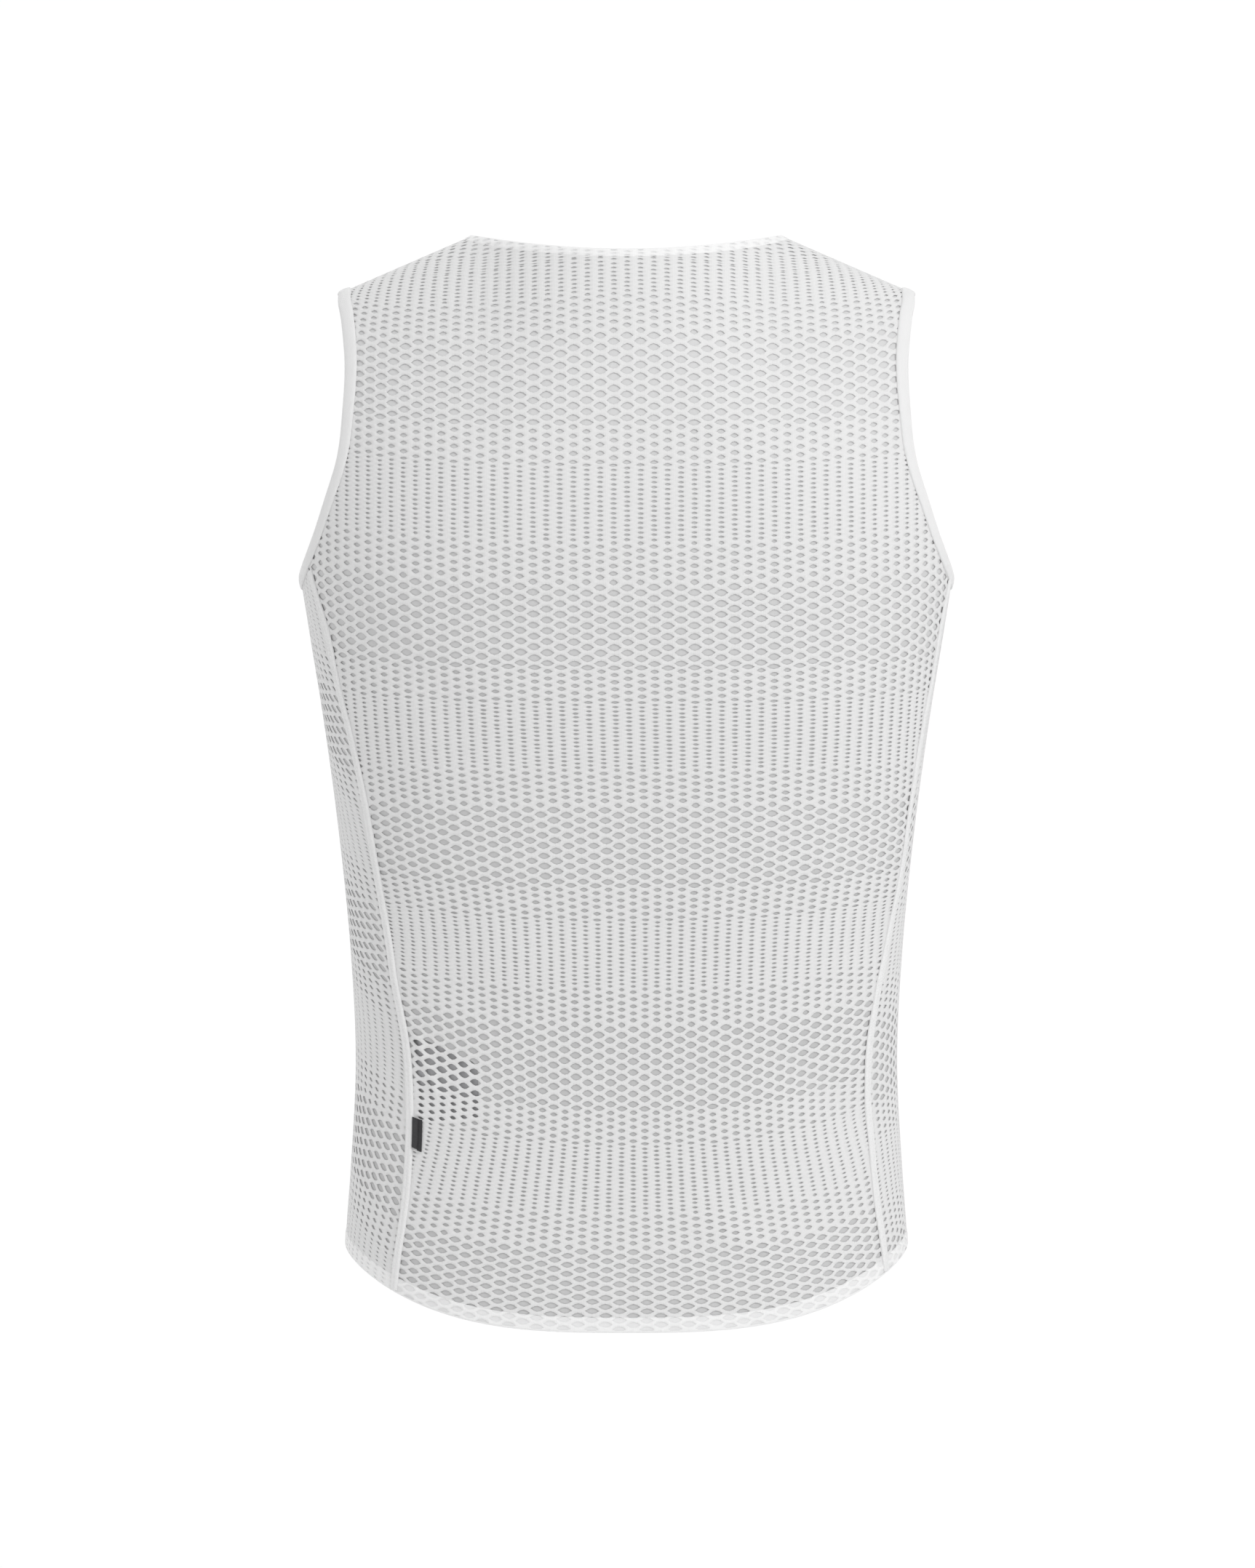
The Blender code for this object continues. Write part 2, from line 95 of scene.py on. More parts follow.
SIDE_SEAM = named(
    "height out turned",
    (-620, 142.5, 8.5),
    (-583, 138.8, 8.5),
    (-547, 133.7, 8.5),
    (-517, 131.3, 8.2),
    (-485, 130.1, 7.2),
    (-460, 131.4, 6.8),
    (-437, 135.2, 6.6),
    (-393, 143.2, 7.4),
    (-363, 148.9, 7.8),
    (-321, 155.2, 7.2),
    (-281, 162.6, 6),
    (-255, 168.4, 5.2),
    (-229, 173, 4.6),
    (-193, 181.5, 3),
    (-180, 184, 2.5),
)
SHOULDER_SEAM_FORWARD = 12
SHOULDER_STITCHES = (94, 158)  # where the shoulder seams' stitches begin and end across
NECK_BAND = 5.2
HEM_BAND = 8.6
SEAM_RIBBON = 5
# The tab's folded end, which shows as two layers: distance from the seam, heights, height over the form.
TAB_LAYERS = named(
    "near far foot head lift",
    (2.4, 5.45, -516.5, -499.3, 1.7),
    (5.1, 7.35, -518.1, -500.2, 1.0),
)
TAB_SLOPE = -0.27
TAB_THICKNESS = 0.6
TAB_TOOTH, TAB_TOOTH_PITCH = 0.16, 0.85  # the woven edge's little loops
TAB_ROWS, TAB_COLUMNS = 87, 9
CARE_FAR_EDGE = (-501.5, -466.8)
CARE_SEAM_EDGE = (-504, -450.5)
CARE_REACH = 38
CARE_DEPTH = 2.3
CARE_LAP = 1  # how far the label reaches past the opening in the ground behind it
CARE_WAVE, CARE_WAVE_LENGTH = 0.35, 19  # the label isn't quite flat
CARE_ROWS, CARE_COLUMNS = 41, 31

# The knit. Heights are those of the first and last eyelet of a band in the back's middle wale.
# Over the shoulder, heights go on as lengths along the cloth.
SHOULDER_BANDS = named(
    "kind first last rows",
    ("small", 131, 93.5, 16),
    ("middle", 90, 73.6, 5),
    ("large", 68.4, 23.2, 8),
    ("middle", 18.2, 1.8, 5),
    ("small", -1.4, -13.1, 6),
)
BACK_BANDS = named(
    "kind first last rows",
    ("small", -14.2, -33.2, 9),
    ("middle", -36.4, -52.7, 5),
    ("large", -58.2, -104.4, 8),
    ("middle", -109.6, -128.8, 5),
    ("small", -132, -171.6, 16),
    ("middle", -175.4, -192.4, 5),
    ("large", -198, -240.4, 8),
    ("middle", -244.8, -260.6, 5),
    ("small", -263.4, -298.4, 16),
    ("middle", -301.8, -317.2, 5),
    ("large", -322.4, -362.9, 8),
    ("middle", -367.4, -383.1, 5),
    ("small", -385.9, -422, 16),
    ("middle", -425.5, -441.3, 5),
    ("large", -446.7, -488.9, 8),
    ("middle", -493.6, -509.6, 5),
    ("small", -512.5, -548, 16),
    ("middle", -551.4, -566.2, 5),
    ("large", -571.1, -611.5, 9),
    ("middle", -616.5, -633, 5),
)
Eyelet = namedtuple("Eyelet", "width height tighter")
# Width where wales lie WALE_PITCH apart, height as a share of the way to the wale's next eyelet, and
# how much tighter it is drawn for each millimetre that its course climbs or falls from wale to wale.
EYELETS = {
    "small": Eyelet(3.6, 0.58, 0.13),
    "middle": Eyelet(5.15, 0.6, 0.05),
    "large": Eyelet(7.7, 0.67, 0),
}
BULGE = 0.115  # how far a rib gives way beside an eyelet, in wales
# Pitch between wales, how far they are evened out across instead of round the body, and their lean.
WALES = named(
    "height pitch flat lean",
    (-660, 7.9, 0.3, 3.8),
    (-608, 7.75, 0.3, 3.8),
    (-567, 7.24, 0.45, 3.8),
    (-536, 6.83, 0.6, 3.8),
    (-507, 6.45, 0.7, 3.8),
    (-440, 6.53, 0.7, 3.8),
    (-380, 6.75, 0.6, 3.8),
    (-350, 7.04, 0.5, 3.2),
    (-290, 7.34, 0.35, 1.8),
    (-225, 7.44, 0.3, 0.6),
    (-110, 7.44, 0.3, 0.1),
    (120, 7.4, 0.3, -0.8),
)
WALE_PITCH = 7.44
BACK_WALES = 32
FRONT_WALES = 48
FRONT_PITCH = 7.15  # the front's wales run down beside the side seams, at an even pitch
# How far the courses rise where the back meets its side seams.
BOWS = named(
    "height left right",
    (-660, 16, 20.5),
    (-551, 16, 20.3),
    (-500, 16.5, 19),
    (-450, 15, 14.5),
    (-410, 11, 11),
    (-365, 4.5, 4.5),
    (-310, 1, 1),
    (-250, 4, 3),
    (-130, 8, 7),
    (-60, 3, 8),
    (0, 0, 6),
    (120, 0, 6),
)
BOW_WALES = 22
BOW_POWER = 2.6
# How far above the back's bands the front's lie, from the wearer's right seam round to the left one.
FRONT_TILTS = named(
    "wale rise",
    (-48, -26), (-42, -11), (-38, -2), (-34, 2), (-28, -2), (-20, -10), (-10, -14), (0, -15),
    (10, -16), (20, -20), (28, -29), (34, -42), (38, -53), (42, -65), (48, -83),
)
SPLIT = -196  # above this height courses are spaced along the cloth, over the shoulder
SHOULDER_LEAN = 0.06  # share of its way out by which a wale leans in, up to the shoulder line
SHOULDER_TURN = 0.9  # how far below the shoulder line it begins to, as an angle on the dome
PAST_SHOULDER = 0.9  # how far past the shoulder line its path goes on, as such an angle
MOST_LEAN = 1.3  # at which it stops leaning, where the shoulder line is 1
LEVEL_LOW, LEVEL_HIGH, LEVEL_STEP = -700.0, 130.0, 5.0  # heights at which the wales are placed
RIM = 0.45  # how far an eyelet's rim turns in
SEED = 11
# An eyelet's outline, from its right tip clockwise: shares of half its width and half its height.
LENS = ((1, 0), (0.52, 0.7), (0, 1), (-0.52, 0.7), (-1, 0), (-0.52, -0.7), (0, -1), (0.52, -0.7))
LENS_INNER = 0.95  # how much smaller the turned-in rim is
RIM_ROLL = 0.6  # how far the cloth's face leans into the rim at its edge
UNEVEN_SIZE = 0.06
UNEVEN_PLACE = 0.16
RISE = 0.45  # how far the folded bands stand proud of the panels
BAND_RIM = 0.3  # depth of the eyelets that show through a folded band
GROUND = 0.7  # how deep the fine ground lies behind the eyelets
UNDER = 0.3  # how far panels run on under what covers their edges
UNDER_BINDING = 2.5

GROUND_STEP = 5
CURVE_STEP = 0.4
NECK_STEPS, HEM_STEPS, ARMHOLE_STEPS, SIDE_STEPS, SHOULDER_STEPS = 240, 400, 260, 1200, 220
FAR = 50.0
# Distances from an edge are measured only this near to it. Past that, FAR will do.
EDGE_REACH, NECK_REACH = 30, 20
ARMHOLE_REACH, ARMHOLE_LOW = 90, -230
NET_MARGIN, BAND_MARGIN = 12, 10  # how far past its border a panel or a band is knitted, to be cut
# Points from which the strips along the edges and seams are laid away.
ABOVE_NECK, BELOW_HEM, BEHIND = (0, 0, 400), (0, 0, -2500), (0, -2500, -300)
BESIDE = {"left": (-420, 0, -120), "right": (420, 0, -120)}
SHOULDER_LOW = -100  # the shoulder seam ends the back above this height, and the front above FRONT_LOW
FRONT_LOW = -150
BACK_SPLITS = (-60, 0, 60)  # wales at which the net is parted into pieces
FRONT_SPLITS = (-60, -16, 16, 60)
SEAM_HEAD = -190
SEAM_STOP = 0.5  # how far short of the hem's edge the side seams' stitches end
ROLL = 0.9  # where a band's edge begins to roll
BAND_SLOPE = 1.3  # over which a band rises from the panel
FOLD_ROLLED = 1.2  # steps of the fold beyond this are scaled to the band's width
FOLD_APART = (400, 0)  # where the fold lies beside the net on the flat cloth
# Across a folded band, a binding and a seam: distance from the edge and height over the form.
FOLD = named(
    "distance height",
    (1.15, 0.42), (0.6, 0.36), (0.15, 0.1), (0, -0.3), (0.2, -0.75), (0.8, -1),
    (HEM_BAND / 2, -1.05), (HEM_BAND, -1),
)
BINDING = named(
    "distance height",
    (8.1, 0.05), (8, 0.5), (7.4, 0.95), (6.2, 1.25), (4.6, 1.42), (3, 1.42), (1.6, 1.2),
    (0.6, 0.8), (0.1, 0.3), (0, -0.3), (0.5, -0.9), (2, -1.2), (7.8, -1.1),
)
HALF_RIBBON = ((0, 1.15), (0.65, 1.25), (1.3, 1.25), (1.9, 1.15), (2.4, 0.95), (2.75, 0.5), (2.7, -0.1))
RIBBON = named("distance height", *((-out, height) for out, height in HALF_RIBBON[:0:-1]), *HALF_RIBBON)
# The ribbon's stitches slant away from its middle line, as in a braid.
STITCH_PITCH = 1.75
STITCH_HEIGHT = 0.3
STITCH_SLANT = 0.55
RIBBON_END = 1.2  # over which the ribbon sinks to the cloth at each end
FABRIC_UNIT = 100

PHOTO_WIDTH = 1725
FOCAL_PX = 7169
SENSOR = 36
CAMERA_PLACE = (0.0006, -3, -0.109)
CAMERA_DOWN = 3.925
FLOOR_SIZE = 3.6
FLOOR_HEIGHT = -1.2
FLOOR_COLOUR = (0.9, 0.9, 0.9, 1)
WORLD_LIGHT = 1.15
# Soft lights in metres and watts, turned to LIGHT_TARGET.
LIGHTS = named(
    "name place size power",
    ("key", (1.5, -1.9, 1.3), 1.2, 30),
    ("far_fill", (-1.2, 2.4, 1.2), 1.8, 24),
)
LIGHT_TARGET = (0, 0, -0.3)
# The surround's brightness by direction, from straight down (0) to straight up (1).
SKY = named("place tone", (0, 0.4), (0.36, 0.875), (0.6, 0.875), (1, 0.85))
# How bright the ground is behind the eyelets, as painted shade: its grey is darkest at the waist,
# where it lies deepest in shade.
GROUND_PAINTED_SHADE = named(
    "height tone",
    (-640, 0.54), (-520, 0.5), (-420, 0.5), (-340, 0.53), (-220, 0.56), (-110, 0.59), (0, 0.6),
    (140, 0.6),
)

# Each cloth's look: loop is the width and height of its loops, shade how much painted shade darkens
# the gaps between them, through the share of light that comes through, slant how far they slant,
# tones its painted shade by height.
LOOKS = named(
    "key name colour loop bump shade through rough sheen slant tones",
    ("mesh", "mesh_knit_look", (0.72, 0.72, 0.72), (0.62, 0.55), 0.35),
    ("ground", "ground_knit_look", (1, 1, 1.004), (0.5, 0.5), 0.4, 0.09, 0, 0.85, 0.1, 0.5, GROUND_PAINTED_SHADE),
    # Painted shade for the floors of the eyelets in the folded bands.
    ("ghost", "ghost_knit_look", (0.75, 0.75, 0.752), (0.5, 0.5), 0.3),
    ("band", "band_knit_look", (0.81, 0.81, 0.81), (0.62, 0.55), 0.3),
    ("tape", "tape_knit_look", (0.82, 0.82, 0.82), (0.45, 0.6), 0.5, 0.05, 0.12, 0.85, 0.1, 1.4),
    ("thread", "thread_look", (0.83, 0.83, 0.83), (0.5, 0.8), 0.5, 0.05, 0.12, 0.85, 0.1, 1.0),
    ("black", "black_tape_look", (0.024, 0.024, 0.026), (0.4, 0.35), 0.7, 0.3, 0, 0.6, 0.2),
    ("satin", "grey_satin_look", (0.42, 0.42, 0.43), (0.3, 0.3), 0.2, 0.06, 0, 0.42, 0.1),
    defaults=(0.05, 0.12, 0.85, 0.1, 0.5, ()),
)

# The soft creases, from one place across and height to another.
CREASES = named(
    "front x_from z_from x_to z_to width height",
    (False, -119, -452, -108, -484, 2.6, 1.5),
    (False, -124, -420, -92, -446, 13, 1.1),
    (False, 52, -556, 76, -574, 11, 1.3),
    (False, 96, -470, 126, -500, 12, -1.2),
    (False, -62, -410, -16, -428, 20, 0.8),
    (False, 20, -395, 74, -382, 22, -0.8),
    (False, -150, -215, -104, -262, 17, -1.1),
    (False, 150, -222, 112, -276, 18, 1.0),
    (False, -28, -588, 30, -596, 16, 0.8),
    (True, -120, -404, -58, -432, 16, 1.2),
    (True, 40, -420, 118, -398, 18, -1.2),
    (True, -140, -240, -92, -300, 19, 1.3),
    (True, 138, -232, 100, -286, 17, -1.1),
    (True, -46, -540, 26, -552, 15, 0.9),
)


def cubic(t, span, start, slope_in, end, slope_out):
    """A cubic curve across a span, from its values and slopes at both ends."""
    return (
        (2 * t**3 - 3 * t**2 + 1) * start
        + (t**3 - 2 * t**2 + t) * span * slope_in
        + (3 * t**2 - 2 * t**3) * end
        + (t**3 - t**2) * span * slope_out
    )


def smooth(table, column, at):
    """The value in a table's column, by its first column, joined by cubic curves."""
    heights = np.array([row[0] for row in table], float)
    values = np.array([getattr(row, column) for row in table], float)
    slopes = np.gradient(values, heights)
    at = np.clip(at, heights[0], heights[-1])
    low = np.clip(np.searchsorted(heights, at) - 1, 0, len(heights) - 2)
    span = heights[low + 1] - heights[low]
    t = (at - heights[low]) / span
    return cubic(t, span, values[low], slopes[low], values[low + 1], slopes[low + 1])


def shoulder_line(x):
    """Height of the form's top: a straight slope outside the neck and a flared neck inside it."""
    x = np.abs(x)
    share = (x / NECK_HALF_WIDTH) ** 2
    flare = SHOULDER_SLOPE * NECK_HALF_WIDTH / 2
    neck = NECK_RISE * (1 - share) ** 2 + flare * share * (1 - share)
    return np.where(x < NECK_HALF_WIDTH, neck, SHOULDER_SLOPE * (NECK_HALF_WIDTH - x))


def closing(x, height):
    """Square of the share of full depth that is left this far below the shoulder line."""
    below = np.minimum((shoulder_line(x) - height) / DOME_HEIGHT, 1)
    return 1 - (1 - below) ** 2


def rounding(x, height):
    """Square of the share of full depth that is left this far out from the middle."""
    left = 1 - (np.abs(x) / smooth(FORM, "half_width", height)) ** SECTION_POWER
    return np.sign(left) * np.abs(left) ** (2 / SECTION_POWER)


def on_form(x, height, front):
    """The form's point at this place across and height, on its back or its front."""
    swell = np.sqrt(np.clip(closing(x, height), 0, 1))
    curve = np.sqrt(np.clip(rounding(x, height), 0, 1))
    depth = np.where(front, smooth(FORM, "front", height), -smooth(FORM, "back", height))
    y = smooth(FORM, "middle", height) * swell + depth * curve * swell
    return np.stack(np.broadcast_arrays(x, y, height), -1).astype(float)


def off_form(points):
    """Below zero inside the form, zero on it, above zero outside."""
    x, y, height = points[..., 0], points[..., 1], points[..., 2]
    swell = closing(x, height)
    y = y - smooth(FORM, "middle", height) * np.sqrt(np.clip(swell, 0, 1))
    depth = np.where(y > 0, smooth(FORM, "front", height), smooth(FORM, "back", height))
    return (y / depth) ** 2 - swell * rounding(x, height)


def steepest(points, step=0.02):
    """How off_form changes for each millimetre along each axis."""
    change = [off_form(points + d) - off_form(points - d) for d in np.eye(3) * step]
    return np.stack(change, -1) / (2 * step)


def unit(vectors):
    return vectors / np.maximum(np.linalg.norm(vectors, axis=-1, keepdims=True), 1e-9)


def outward(points):
    return unit(steepest(points))


def drape(points, rounds=6, longest=5):
    """The points, laid on the form."""
    for _ in range(rounds):
        slope = steepest(points)
        move = off_form(points)[..., None] * slope / np.maximum((slope**2).sum(-1, keepdims=True), 1e-12)
        length = np.linalg.norm(move, axis=-1, keepdims=True)
        points = points - move * np.minimum(1, longest / np.maximum(length, longest))
    return points


def lengths(curve):
    """Length along a curve at each of its points."""
    return np.concatenate([[0], np.cumsum(np.linalg.norm(np.diff(curve, axis=0), axis=1))])


def along(curve, at):
    """The points of a curve at the given lengths along it."""
    run = lengths(curve)
    return np.stack([np.interp(at, run, axis) for axis in curve.T], -1)


def even(curve, count):
    """The same line in steps of one length."""
    return along(curve, np.linspace(0, lengths(curve)[-1], count + 1))


def ease(t):
    """A soft step from 0 to 1 while t goes from 0 to 1."""
    t = np.clip(t, 0, 1)
    return t * t * (3 - 2 * t)


def relief(points):
    """How far the soft creases lift the cloth."""
    lift = np.zeros(len(points))
    front = points[:, 1] > smooth(FORM, "middle", points[:, 2])
    for crease in CREASES:
        start, end = np.array([crease.x_from, crease.z_from]), np.array([crease.x_to, crease.z_to])
        line = end - start
        flat = points[:, [0, 2]]
        t = np.clip(((flat - start) @ line) / (line @ line), 0, 1)
        away = np.linalg.norm(flat - start - t[:, None] * line, axis=1) / crease.width
        lift += (front == crease.front) * crease.height * np.exp(-away**2)
    return lift


# The outline of the garment and its seams


def closed_spline(rows, count):
    """A smooth closed curve through the rows of an outline table."""
    knots = np.array(rows, float)
    t = np.linspace(0, len(knots), count + 1) % len(knots)
    k = t.astype(int)
    f = (t - k)[:, None]
    a, b, c, d = (knots[(k + shift) % len(knots)] for shift in (-1, 0, 1, 2))
    return cubic(f, 1, b, (c - a) / 2, c, (d - b) / 2)


def armhole_edge(right, count):
    """Free edge of an armhole, from the shoulder down the back, under the arm and up the front."""
    y, height = closed_spline(ARMHOLE, 8 * count).T
    near = np.full(len(y), float(NECK_HALF_WIDTH))
    far = smooth(FORM, "half_width", height)
    for _ in range(40):
        x = (near + far) / 2
        outside = off_form(np.stack([x, y, height], -1)) > 0
        near, far = np.where(outside, near, x), np.where(outside, x, far)
    return even(np.stack([x if right else -x, y, height], -1), count)


def neck_height(x, front):
    """Height of the neck's free edge above a place across."""
    share = np.clip(1 - (x / NECK_HALF_WIDTH) ** 2, 0, None)
    return np.where(front, -NECK_DROP_FRONT * np.sqrt(share), -NECK_DROP_BACK * share)


def hem_height(share, front):
    """Height of the hem's free edge, by the share of the half width that it lies out."""
    share = np.clip(np.abs(share), 0, 1)
    tail = HEM_BACK + (HEM_SIDE - HEM_BACK) * share**HEM_TAIL_POWER
    rise = HEM_FRONT + (HEM_SIDE - HEM_FRONT) * share**2
    return np.where(front, rise, tail)


def whole_turn(count):
    turn = np.linspace(-np.pi / 2, 3 * np.pi / 2, 30 * count + 1)
    return turn, turn > np.pi / 2


def neck_edge(count):
    turn, front = whole_turn(count)
    x = NECK_HALF_WIDTH * np.sin(turn)
    return even(on_form(x, neck_height(x, front), front), count)


def hem_edge(count):
    turn, front = whole_turn(count)
    height = hem_height(np.sin(turn), front)
    return even(on_form(smooth(FORM, "half_width", height) * np.sin(turn), height, front), count)


def side_seam_x(height, right):
    out = smooth(SIDE_SEAM, "out", height)
    return (out if right else -out) + smooth(SIDE_SEAM, "turned", height)


def side_seam(right, count):
    """A side seam's middle line, from the hem's edge up to the armhole."""
    foot = float(HEM_SIDE)
    for _ in range(20):
        foot = float(hem_height(side_seam_x(foot, right) / smooth(FORM, "half_width", foot), False))
    height = np.linspace(foot + SEAM_STOP, SEAM_HEAD, 4 * count + 1)
    return even(on_form(side_seam_x(height, right), height, False), count)


def shoulder_seam(right, near, far, count):
    x = np.linspace(near, far, 4 * count + 1) * (1 if right else -1)
    forward = np.full(len(x), float(SHOULDER_SEAM_FORWARD))
    return even(drape(np.stack([x, forward, shoulder_line(x)], -1), rounds=12), count)


# The knitted lattice


def courses():
    """Nominal height and kind of eyelet of each half course, from the top down.

    Even half courses hold the eyelets of the even wales. Odd ones lie midway, for the odd wales.
    """
    bands = (*SHOULDER_BANDS, *BACK_BANDS)
    rows = np.concatenate([np.linspace(band.first, band.last, band.rows) for band in bands])
    midway = (rows[:-1] + rows[1:]) / 2
    midway = np.append(midway, 2 * rows[-1] - midway[-1])
    kinds = np.repeat([band.kind for band in bands], [2 * band.rows for band in bands])
    return np.stack([rows, midway], -1).ravel(), kinds


def shoulder_path(x, front):
    """Up the form from one place across, from SPLIT over the shoulder line to the other side.

    Towards the shoulder line the path leans in to the neck.
    """
    straight = on_form(np.full(6, x), np.linspace(SPLIT, shoulder_line(x) - DOME_HEIGHT, 6), front)
    turn = np.linspace(-np.pi / 2, PAST_SHOULDER, 70)[1:]
    across = x * (1 - SHOULDER_LEAN * np.clip(1 + turn / SHOULDER_TURN, 0, MOST_LEAN) ** 2)
    height = shoulder_line(across) - DOME_HEIGHT * (1 - np.cos(turn))
    return np.concatenate([straight, on_form(across, height, (turn > 0) != front)])


def run_up(height):
    """Length of cloth from SPLIT up to a nominal height in the middle of the back."""
    path = shoulder_path(0.0, False)
    last = BACK_BANDS[0].first
    known = np.interp(np.minimum(height, last), path[:40, 2], lengths(path)[:40])
    return known + np.maximum(height - last, 0)


def back_row(height, wales):
    """Points where the back's wales cross a level below SPLIT."""
    across = np.sin(np.linspace(-np.pi / 2, np.pi / 2, 241)) * smooth(FORM, "half_width", height)
    row = on_form(across, np.full(241, height), False)
    run = lengths(row)
    run = run - np.interp(0, across, run)
    flat = smooth(WALES, "flat", height)
    measure = (1 - flat) * run + flat * across
    middle = np.interp(smooth(WALES, "lean", height), across, measure)
    x = np.interp(middle + wales * smooth(WALES, "pitch", height), measure, across)
    return on_form(x, np.full(len(x), height), False)


def front_row(height, wales):
    """Points where the front's wales cross a level below SPLIT. They run round to the back."""
    turn = np.linspace(-np.pi, np.pi, 481)
    across = -np.sin(turn) * smooth(FORM, "half_width", height)
    row = on_form(across, np.full(481, height), np.abs(turn) <= np.pi / 2)
    run = lengths(row)
    return along(row, run[240] + wales * FRONT_PITCH)


class Lattice:
    """Where a panel's wales and half courses cross, as points on the form."""

    def __init__(self, front):
        self.front = front
        self.heights, self.kinds = courses()
        most = FRONT_WALES if front else BACK_WALES
        self.wales = np.arange(-2 * most, 2 * most + 1) / 2
        levels = np.arange(LEVEL_LOW, LEVEL_HIGH, LEVEL_STEP)
        low = levels[levels <= SPLIT]
        row = front_row if front else back_row
        table = np.empty((len(levels), len(self.wales), 3))
        for k, level in enumerate(low):
            table[k] = row(level, self.wales)
        above = levels[len(low):]
        first = row(float(SPLIT), self.wales)
        runs = run_up(above)
        for k, point in enumerate(first):
            table[len(low):, k] = along(shoulder_path(point[0], front), runs)
        if front:
            wrapped = first[:, 1] < 0
            table[len(low):, wrapped] = [row(level, self.wales[wrapped]) for level in above]
        self.uneven = np.random.default_rng(SEED + front).uniform(-1, 1, (len(self.heights), 2 * most + 1, 3))
        nominal = self.heights[:, None] + self.shift()
        place = np.clip((nominal - levels[0]) / LEVEL_STEP, 0, len(levels) - 1.001)
        k = place.astype(int)
        f = (place - k)[..., None]
        column = np.arange(len(self.wales))[None]
        self.points = table[k, column] * (1 - f) + table[k + 1, column] * f

    def shift(self):
        """How far each crossing lies above its course's nominal height."""
        if self.front:
            rise = smooth(FRONT_TILTS, "rise", self.wales)
            return np.broadcast_to(rise, (len(self.heights), len(self.wales)))
        out = np.minimum(np.abs(self.wales) / BOW_WALES, 1.15) ** BOW_POWER
        left, right = (smooth(BOWS, name, self.heights)[:, None] for name in ("left", "right"))
        return np.where(self.wales < 0, left, right) * out

    def at(self, course, wale):
        """Points at fractional half courses and wales."""
        course = np.clip(course, 0, len(self.heights) - 1.001)
        column = np.clip((wale - self.wales[0]) * 2, 0, len(self.wales) - 1.001)
        c, m = course.astype(int), column.astype(int)
        f, g = (course - c)[..., None], (column - m)[..., None]
        p = self.points
        above, below = ((1 - g) * p[row, m] + g * p[row, m + 1] for row in (c, c + 1))
        return (1 - f) * above + f * below

    def nominal(self, course):
        return np.interp(course, np.arange(len(self.heights)), self.heights)


# Meshes. Each is a table of rows and its triangles. A row holds a point on the form, how deep it
# lies under the cloth's face, and its place in the knit: its wale and its course's nominal height.
DEPTH, WALE, NOMINAL = 3, 4, 5


def net(lattice, wanted, rim=RIM, closed=False):
    """The knit's cells, one for each eyelet whose middle is wanted."""
    most = int(lattice.wales[-1])
    c, i = np.meshgrid(np.arange(1, len(lattice.heights) - 1), np.arange(1 - most, most), indexing="ij")
    chosen = (i + c) % 2 == 0
    c, i = c[chosen], i[chosen]
    chosen = wanted(lattice.at(c, i))
    c, i = c[chosen], i[chosen]

    # Eight points that a cell shares with its neighbours, named by twice their wale and their course.
    around = ((1, 0), (1, 1), (0, 1), (-1, 1), (-1, 0), (-1, -1), (0, -1), (1, -1))
    names = np.stack([np.stack([2 * i + a, c + b], -1) for a, b in around], 1)
    names, shared = np.unique(names.reshape(-1, 2), axis=0, return_inverse=True)
    shared = shared.reshape(-1, 8)
    widths, heights, tighter = np.array([EYELETS[kind] for kind in lattice.kinds], float).T
    widths = widths / WALE_PITCH
    left_wale = (names[:, 0] - 1) // 2
    give = np.where((left_wale + names[:, 1]) % 2 == 0, 1, -1) * (names[:, 0] % 2)
    wale = names[:, 0] / 2 + give * BULGE * widths[names[:, 1]]
    outer = knit_rows(lattice, names[:, 1].astype(float), wale, 0.0)

    size, across, up = lattice.uneven[c, i + most].T
    step_up = lattice.heights[c - 1] - lattice.heights[c]
    step_down = lattice.heights[c] - lattice.heights[c + 1]
    slant = np.abs(np.gradient(lattice.shift(), axis=1))[c, 2 * (i + most)] * 2
    scale = (1 + UNEVEN_SIZE * size) / (1 + tighter[c] * slant)
    half_width = widths[c] / 2 * scale
    half_height = heights[c] * (step_up + step_down) / 2 * scale
    rings = []
    for share, depth in ((1.0, 0.0), (LENS_INNER, rim)):
        for a, b in LENS:
            drop = b * share * half_height + UNEVEN_PLACE * up
            course = c + drop / np.where(drop > 0, step_down, step_up)
            place = i + a * share * half_width + UNEVEN_PLACE * across / WALE_PITCH
            rings.append(knit_rows(lattice, course, place, depth))
    rings = np.stack(rings, 1).reshape(-1, rings[0].shape[1])
    own = len(outer) + 16 * np.arange(len(c))[:, None] + np.arange(16)
    ring, inner = own[:, :8], own[:, 8:]
    faces = []
    for wide, narrow in ((shared, ring), (ring, inner)):
        for k in range(8):
            n = (k + 1) % 8
            faces += [np.stack([wide[:, k], narrow[:, k], narrow[:, n]], 1)]
            faces += [np.stack([wide[:, k], narrow[:, n], wide[:, n]], 1)]
    if closed:
        faces += [np.stack([inner[:, 0], inner[:, k + 1], inner[:, k]], 1) for k in range(1, 7)]
    return np.concatenate([outer, rings]), np.concatenate(faces)


def knit_rows(lattice, course, wale, depth):
    points = drape(lattice.at(course, wale), rounds=2)
    return np.column_stack([points, np.full(len(points), depth), wale, lattice.nominal(course)])


def ground(lattice, depth):
    """A plain sheet over the whole lattice."""
    nominal = np.arange(lattice.heights[-2], lattice.heights[1], GROUND_STEP)
    course = np.interp(-nominal, -lattice.heights, np.arange(len(lattice.heights)))
    wales = lattice.wales[1:-1:2]
    c, w = (grid.ravel() for grid in np.meshgrid(course, wales, indexing="ij"))
    rows = knit_rows(lattice, c, w, depth)
    return rows, grid_faces(len(nominal), len(wales))


